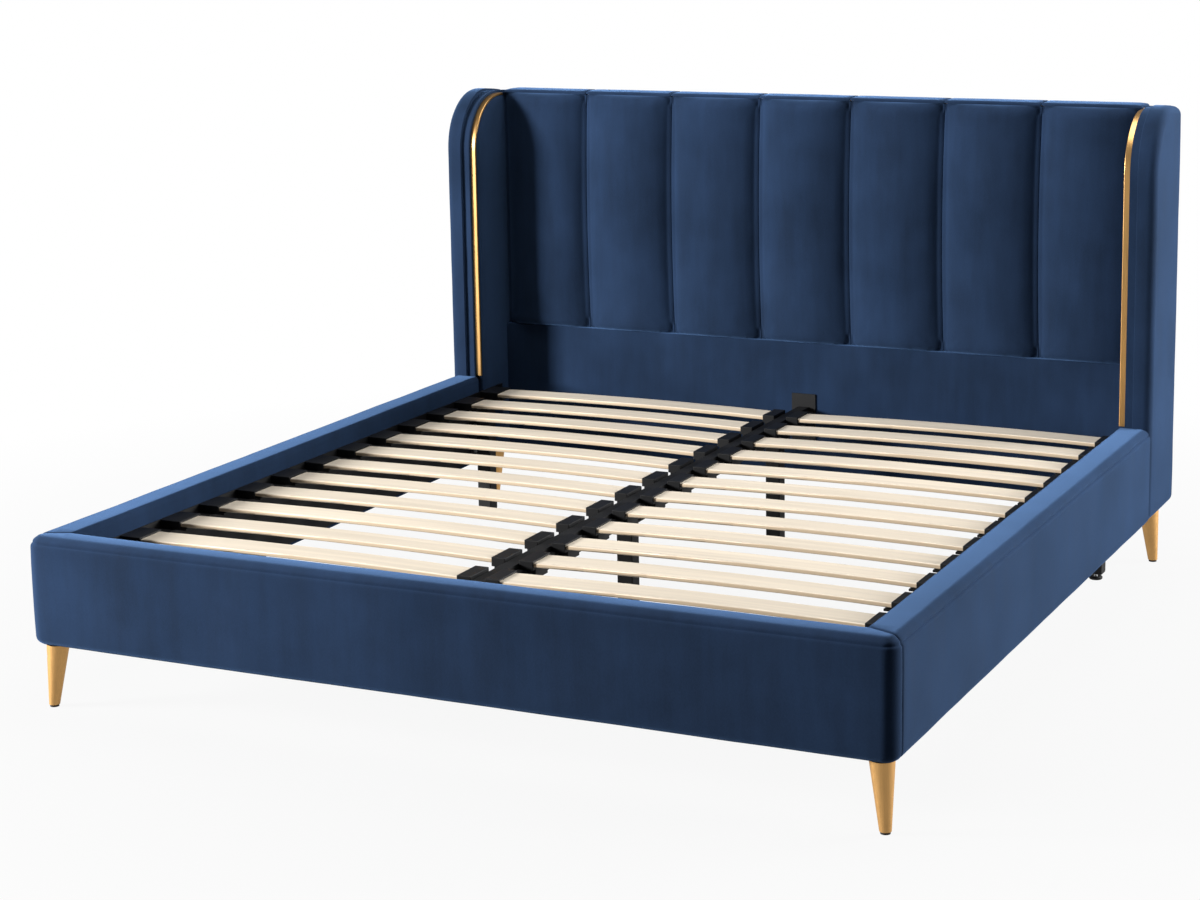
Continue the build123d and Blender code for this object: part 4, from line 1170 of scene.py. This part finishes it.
class BED_OT_finish_frame(bpy.types.Operator):
    """Give every carried-over piece of the frame its finish"""

    bl_idname = "bed.finish_frame"
    bl_label = "Finish frame"

    def execute(self, context):
        library = finish_library()
        wanted = (
            ("leg_front", "brass_upright"), ("leg_rear", "brass_upright"), ("leg_plates", "steel"),
            ("leg_bolts", "zinc"), ("leg_glides", "glide"), ("slats", "birch"),
            ("side_caps", "plastic"), ("centre_caps", "plastic"), ("side_bearer", "steel"),
            ("bearer_screws", "zinc"), ("centre_beam", "steel"), ("beam_bracket", "steel"),
            ("corner_brackets", "steel"), ("joining_plates", "steel"), ("bracket_bolts", "zinc"),
            ("support_leg_plugs", "plastic"), ("support_leg_screws", "zinc"),
            ("support_legs", "steel"), ("levelling_pad", "plastic"), ("levelling_screw", "zinc"),
            ("foot_panel_frame", "timber_across"), ("headboard_frame", "timber_across"),
            ("rail_", "timber_long"), ("wing_bolts", "zinc"), ("headboard_plywood", "plywood"),
            ("gold_strip", "brass_strip"), ("wing_", "timber_long"),
        )
        for name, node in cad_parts.items():
            for key, finish in wanted:
                if name.startswith(key) or name.endswith(key):
                    node.data.materials.clear()
                    node.data.materials.append(library[finish])
                    break
        return {"FINISHED"}


class BED_OT_set_stage(bpy.types.Operator):
    """Lay the pale floor and set the studio lights and the camera"""

    bl_idname = "bed.set_stage"
    bl_label = "Set stage"

    def execute(self, context):
        scene = context.scene
        scene.view_settings.view_transform = "Standard"
        reach, gap = 30.0, 0.0005
        bm = bmesh.new()
        bmesh.ops.create_grid(bm, x_segments=1, y_segments=1, size=reach)
        bmesh.ops.translate(bm, vec=(0, 0, -gap), verts=bm.verts)
        mesh = bpy.data.meshes.new("floor")
        bm.to_mesh(mesh)
        bm.free()
        floor = linked("floor", mesh)
        mesh.materials.append(floor_finish())
        pale_world(scene)
        for name, place, size, power, target in (
            ("key_light", (-4.9, -3.3, 1.8), 1.2, 830.0, (0.3, 0.9, 0.75)),
            ("top_light", (0.5, 0.5, 4.0), 2.4, 95.0, (0.3, 0.1, 0)),
            ("side_light", (4.6, 2.6, 1.6), 2.2, 450.0, (0.9, 0, 0.3)),
        ):
            soft_light(name, place, size, power, target)
        photo_camera(scene)
        return {"FINISHED"}


def seen_directly(tree, mirrored):
    """One for camera rays and a part of it for what metal and gloss mirror."""
    path = tree.nodes.new("ShaderNodeLightPath")
    gloss = times(tree, path.outputs["Is Glossy Ray"], mirrored)
    return math_value(tree, "MAXIMUM", path.outputs["Is Camera Ray"], gloss)


def floor_finish():
    """Pale floor that shows near white to the eye and keeps a light shadow of the bed."""
    material, tree, shader = material_nodes("floor")
    fit_shader(tree, shader, {
        "Base Color": (0.25, 0.25, 0.25, 1),
        "Roughness": 0.9,
        "Specular IOR Level": 0.0,
    })
    away = tree.nodes.new("ShaderNodeVectorMath")
    away.operation = "LENGTH"
    tree.links.new(object_coords(tree), away.inputs[0])
    reach, glow_span = (1.3, 3.0), (0.92, 1.0)
    far = remap(tree, away.outputs["Value"], reach, glow_span)
    share = times(tree, far, seen_directly(tree, mirrored=0.42))
    glow = tree.nodes.new("ShaderNodeEmission")
    glow.inputs["Strength"].default_value = 1.0
    mixed = tree.nodes.new("ShaderNodeMixShader")
    tree.links.new(share, mixed.inputs["Fac"])
    tree.links.new(shader.outputs["BSDF"], mixed.inputs[1])
    tree.links.new(glow.outputs["Emission"], mixed.inputs[2])
    tree.links.new(mixed.outputs["Shader"], tree.nodes["Material Output"].inputs["Surface"])
    return material


def pale_world(scene):
    """World light at a plain level that shows white to the eye."""
    world = bpy.data.worlds.new("studio")
    scene.world = world
    world.use_nodes = True
    tree = world.node_tree
    background = tree.nodes["Background"]
    background.inputs["Color"].default_value = (1, 1, 1, 1)
    strengths = (0.03, 1.0)
    seen = seen_directly(tree, mirrored=0.2)
    plug(tree, remap(tree, seen, (0.0, 1.0), strengths), background.inputs["Strength"])


def soft_light(name, place, size, power, target):
    """One square area light that points at a place."""
    light = bpy.data.lights.new(name, "AREA")
    light.size = size
    light.energy = power
    holder = linked(name, light)
    holder.location = place
    away = Vector(place) - Vector(target)
    holder.rotation_mode = "QUATERNION"
    holder.rotation_quaternion = away.to_track_quat("Z", "Y")


def photo_camera(scene):
    """Camera at the photograph's place and angle."""
    place = Vector((2.4936, -5.4002, 1.8025))
    yaw, pitch, roll = math.radians(25.725), math.radians(10.739), math.radians(-0.984)
    focal, centre = 2569.08, (607.4, 350.0)
    back = Vector((
        math.sin(yaw) * math.cos(pitch), -math.cos(yaw) * math.cos(pitch), math.sin(pitch)))
    right = Vector((math.cos(yaw), math.sin(yaw), 0))
    up = back.cross(right)
    right, up = (
        right * math.cos(roll) + up * math.sin(roll), up * math.cos(roll) - right * math.sin(roll))
    data = bpy.data.cameras.new("photo_camera")
    data.sensor_width = 36.0
    data.lens = focal / PHOTO_SIZE[0] * data.sensor_width
    data.shift_x = (PHOTO_SIZE[0] / 2 - centre[0]) / PHOTO_SIZE[0]
    data.shift_y = (centre[1] - PHOTO_SIZE[1] / 2) / PHOTO_SIZE[0]
    data.clip_end = 60.0
    camera = linked("photo_camera", data)
    camera.rotation_mode = "QUATERNION"
    camera.rotation_quaternion = Matrix((right, up, back)).transposed().to_quaternion()
    camera.location = place
    scene.camera = camera


class BED_PT_pieces(bpy.types.Panel):
    """Pieces of the bed in the order in which they are made"""

    bl_idname = "BED_PT_pieces"
    bl_label = "Wing-back bed"
    bl_space_type = "VIEW_3D"
    bl_region_type = "UI"
    bl_category = "Bed"

    def draw(self, context):
        for operator in OPERATORS:
            self.layout.operator(operator.bl_idname)
        for group in (context.scene.bed_sizes, context.scene.bed_colours):
            box = self.layout.box()
            for field in group.bl_rna.properties:
                if field.identifier not in ("rna_type", "name"):
                    box.prop(group, field.identifier)


OPERATORS = (
    BED_OT_cover_foot_and_rails, BED_OT_line_inner_faces, BED_OT_stuff_channels,
    BED_OT_close_headboard, BED_OT_pad_wings, BED_OT_finish_frame, BED_OT_set_stage,
)
CLASSES = (BedSizes, BedColours, *OPERATORS, BED_PT_pieces)


def register():
    for item in CLASSES:
        bpy.utils.register_class(item)
    bpy.types.Scene.bed_sizes = bpy.props.PointerProperty(type=BedSizes)
    bpy.types.Scene.bed_colours = bpy.props.PointerProperty(type=BedColours)


def unregister():
    del bpy.types.Scene.bed_colours
    del bpy.types.Scene.bed_sizes
    for item in reversed(CLASSES):
        bpy.utils.unregister_class(item)


def main():
    register()
    for operator in OPERATORS:
        family, name = operator.bl_idname.split(".")
        getattr(getattr(bpy.ops, family), name)()


if __name__ == "__main__":
    main()
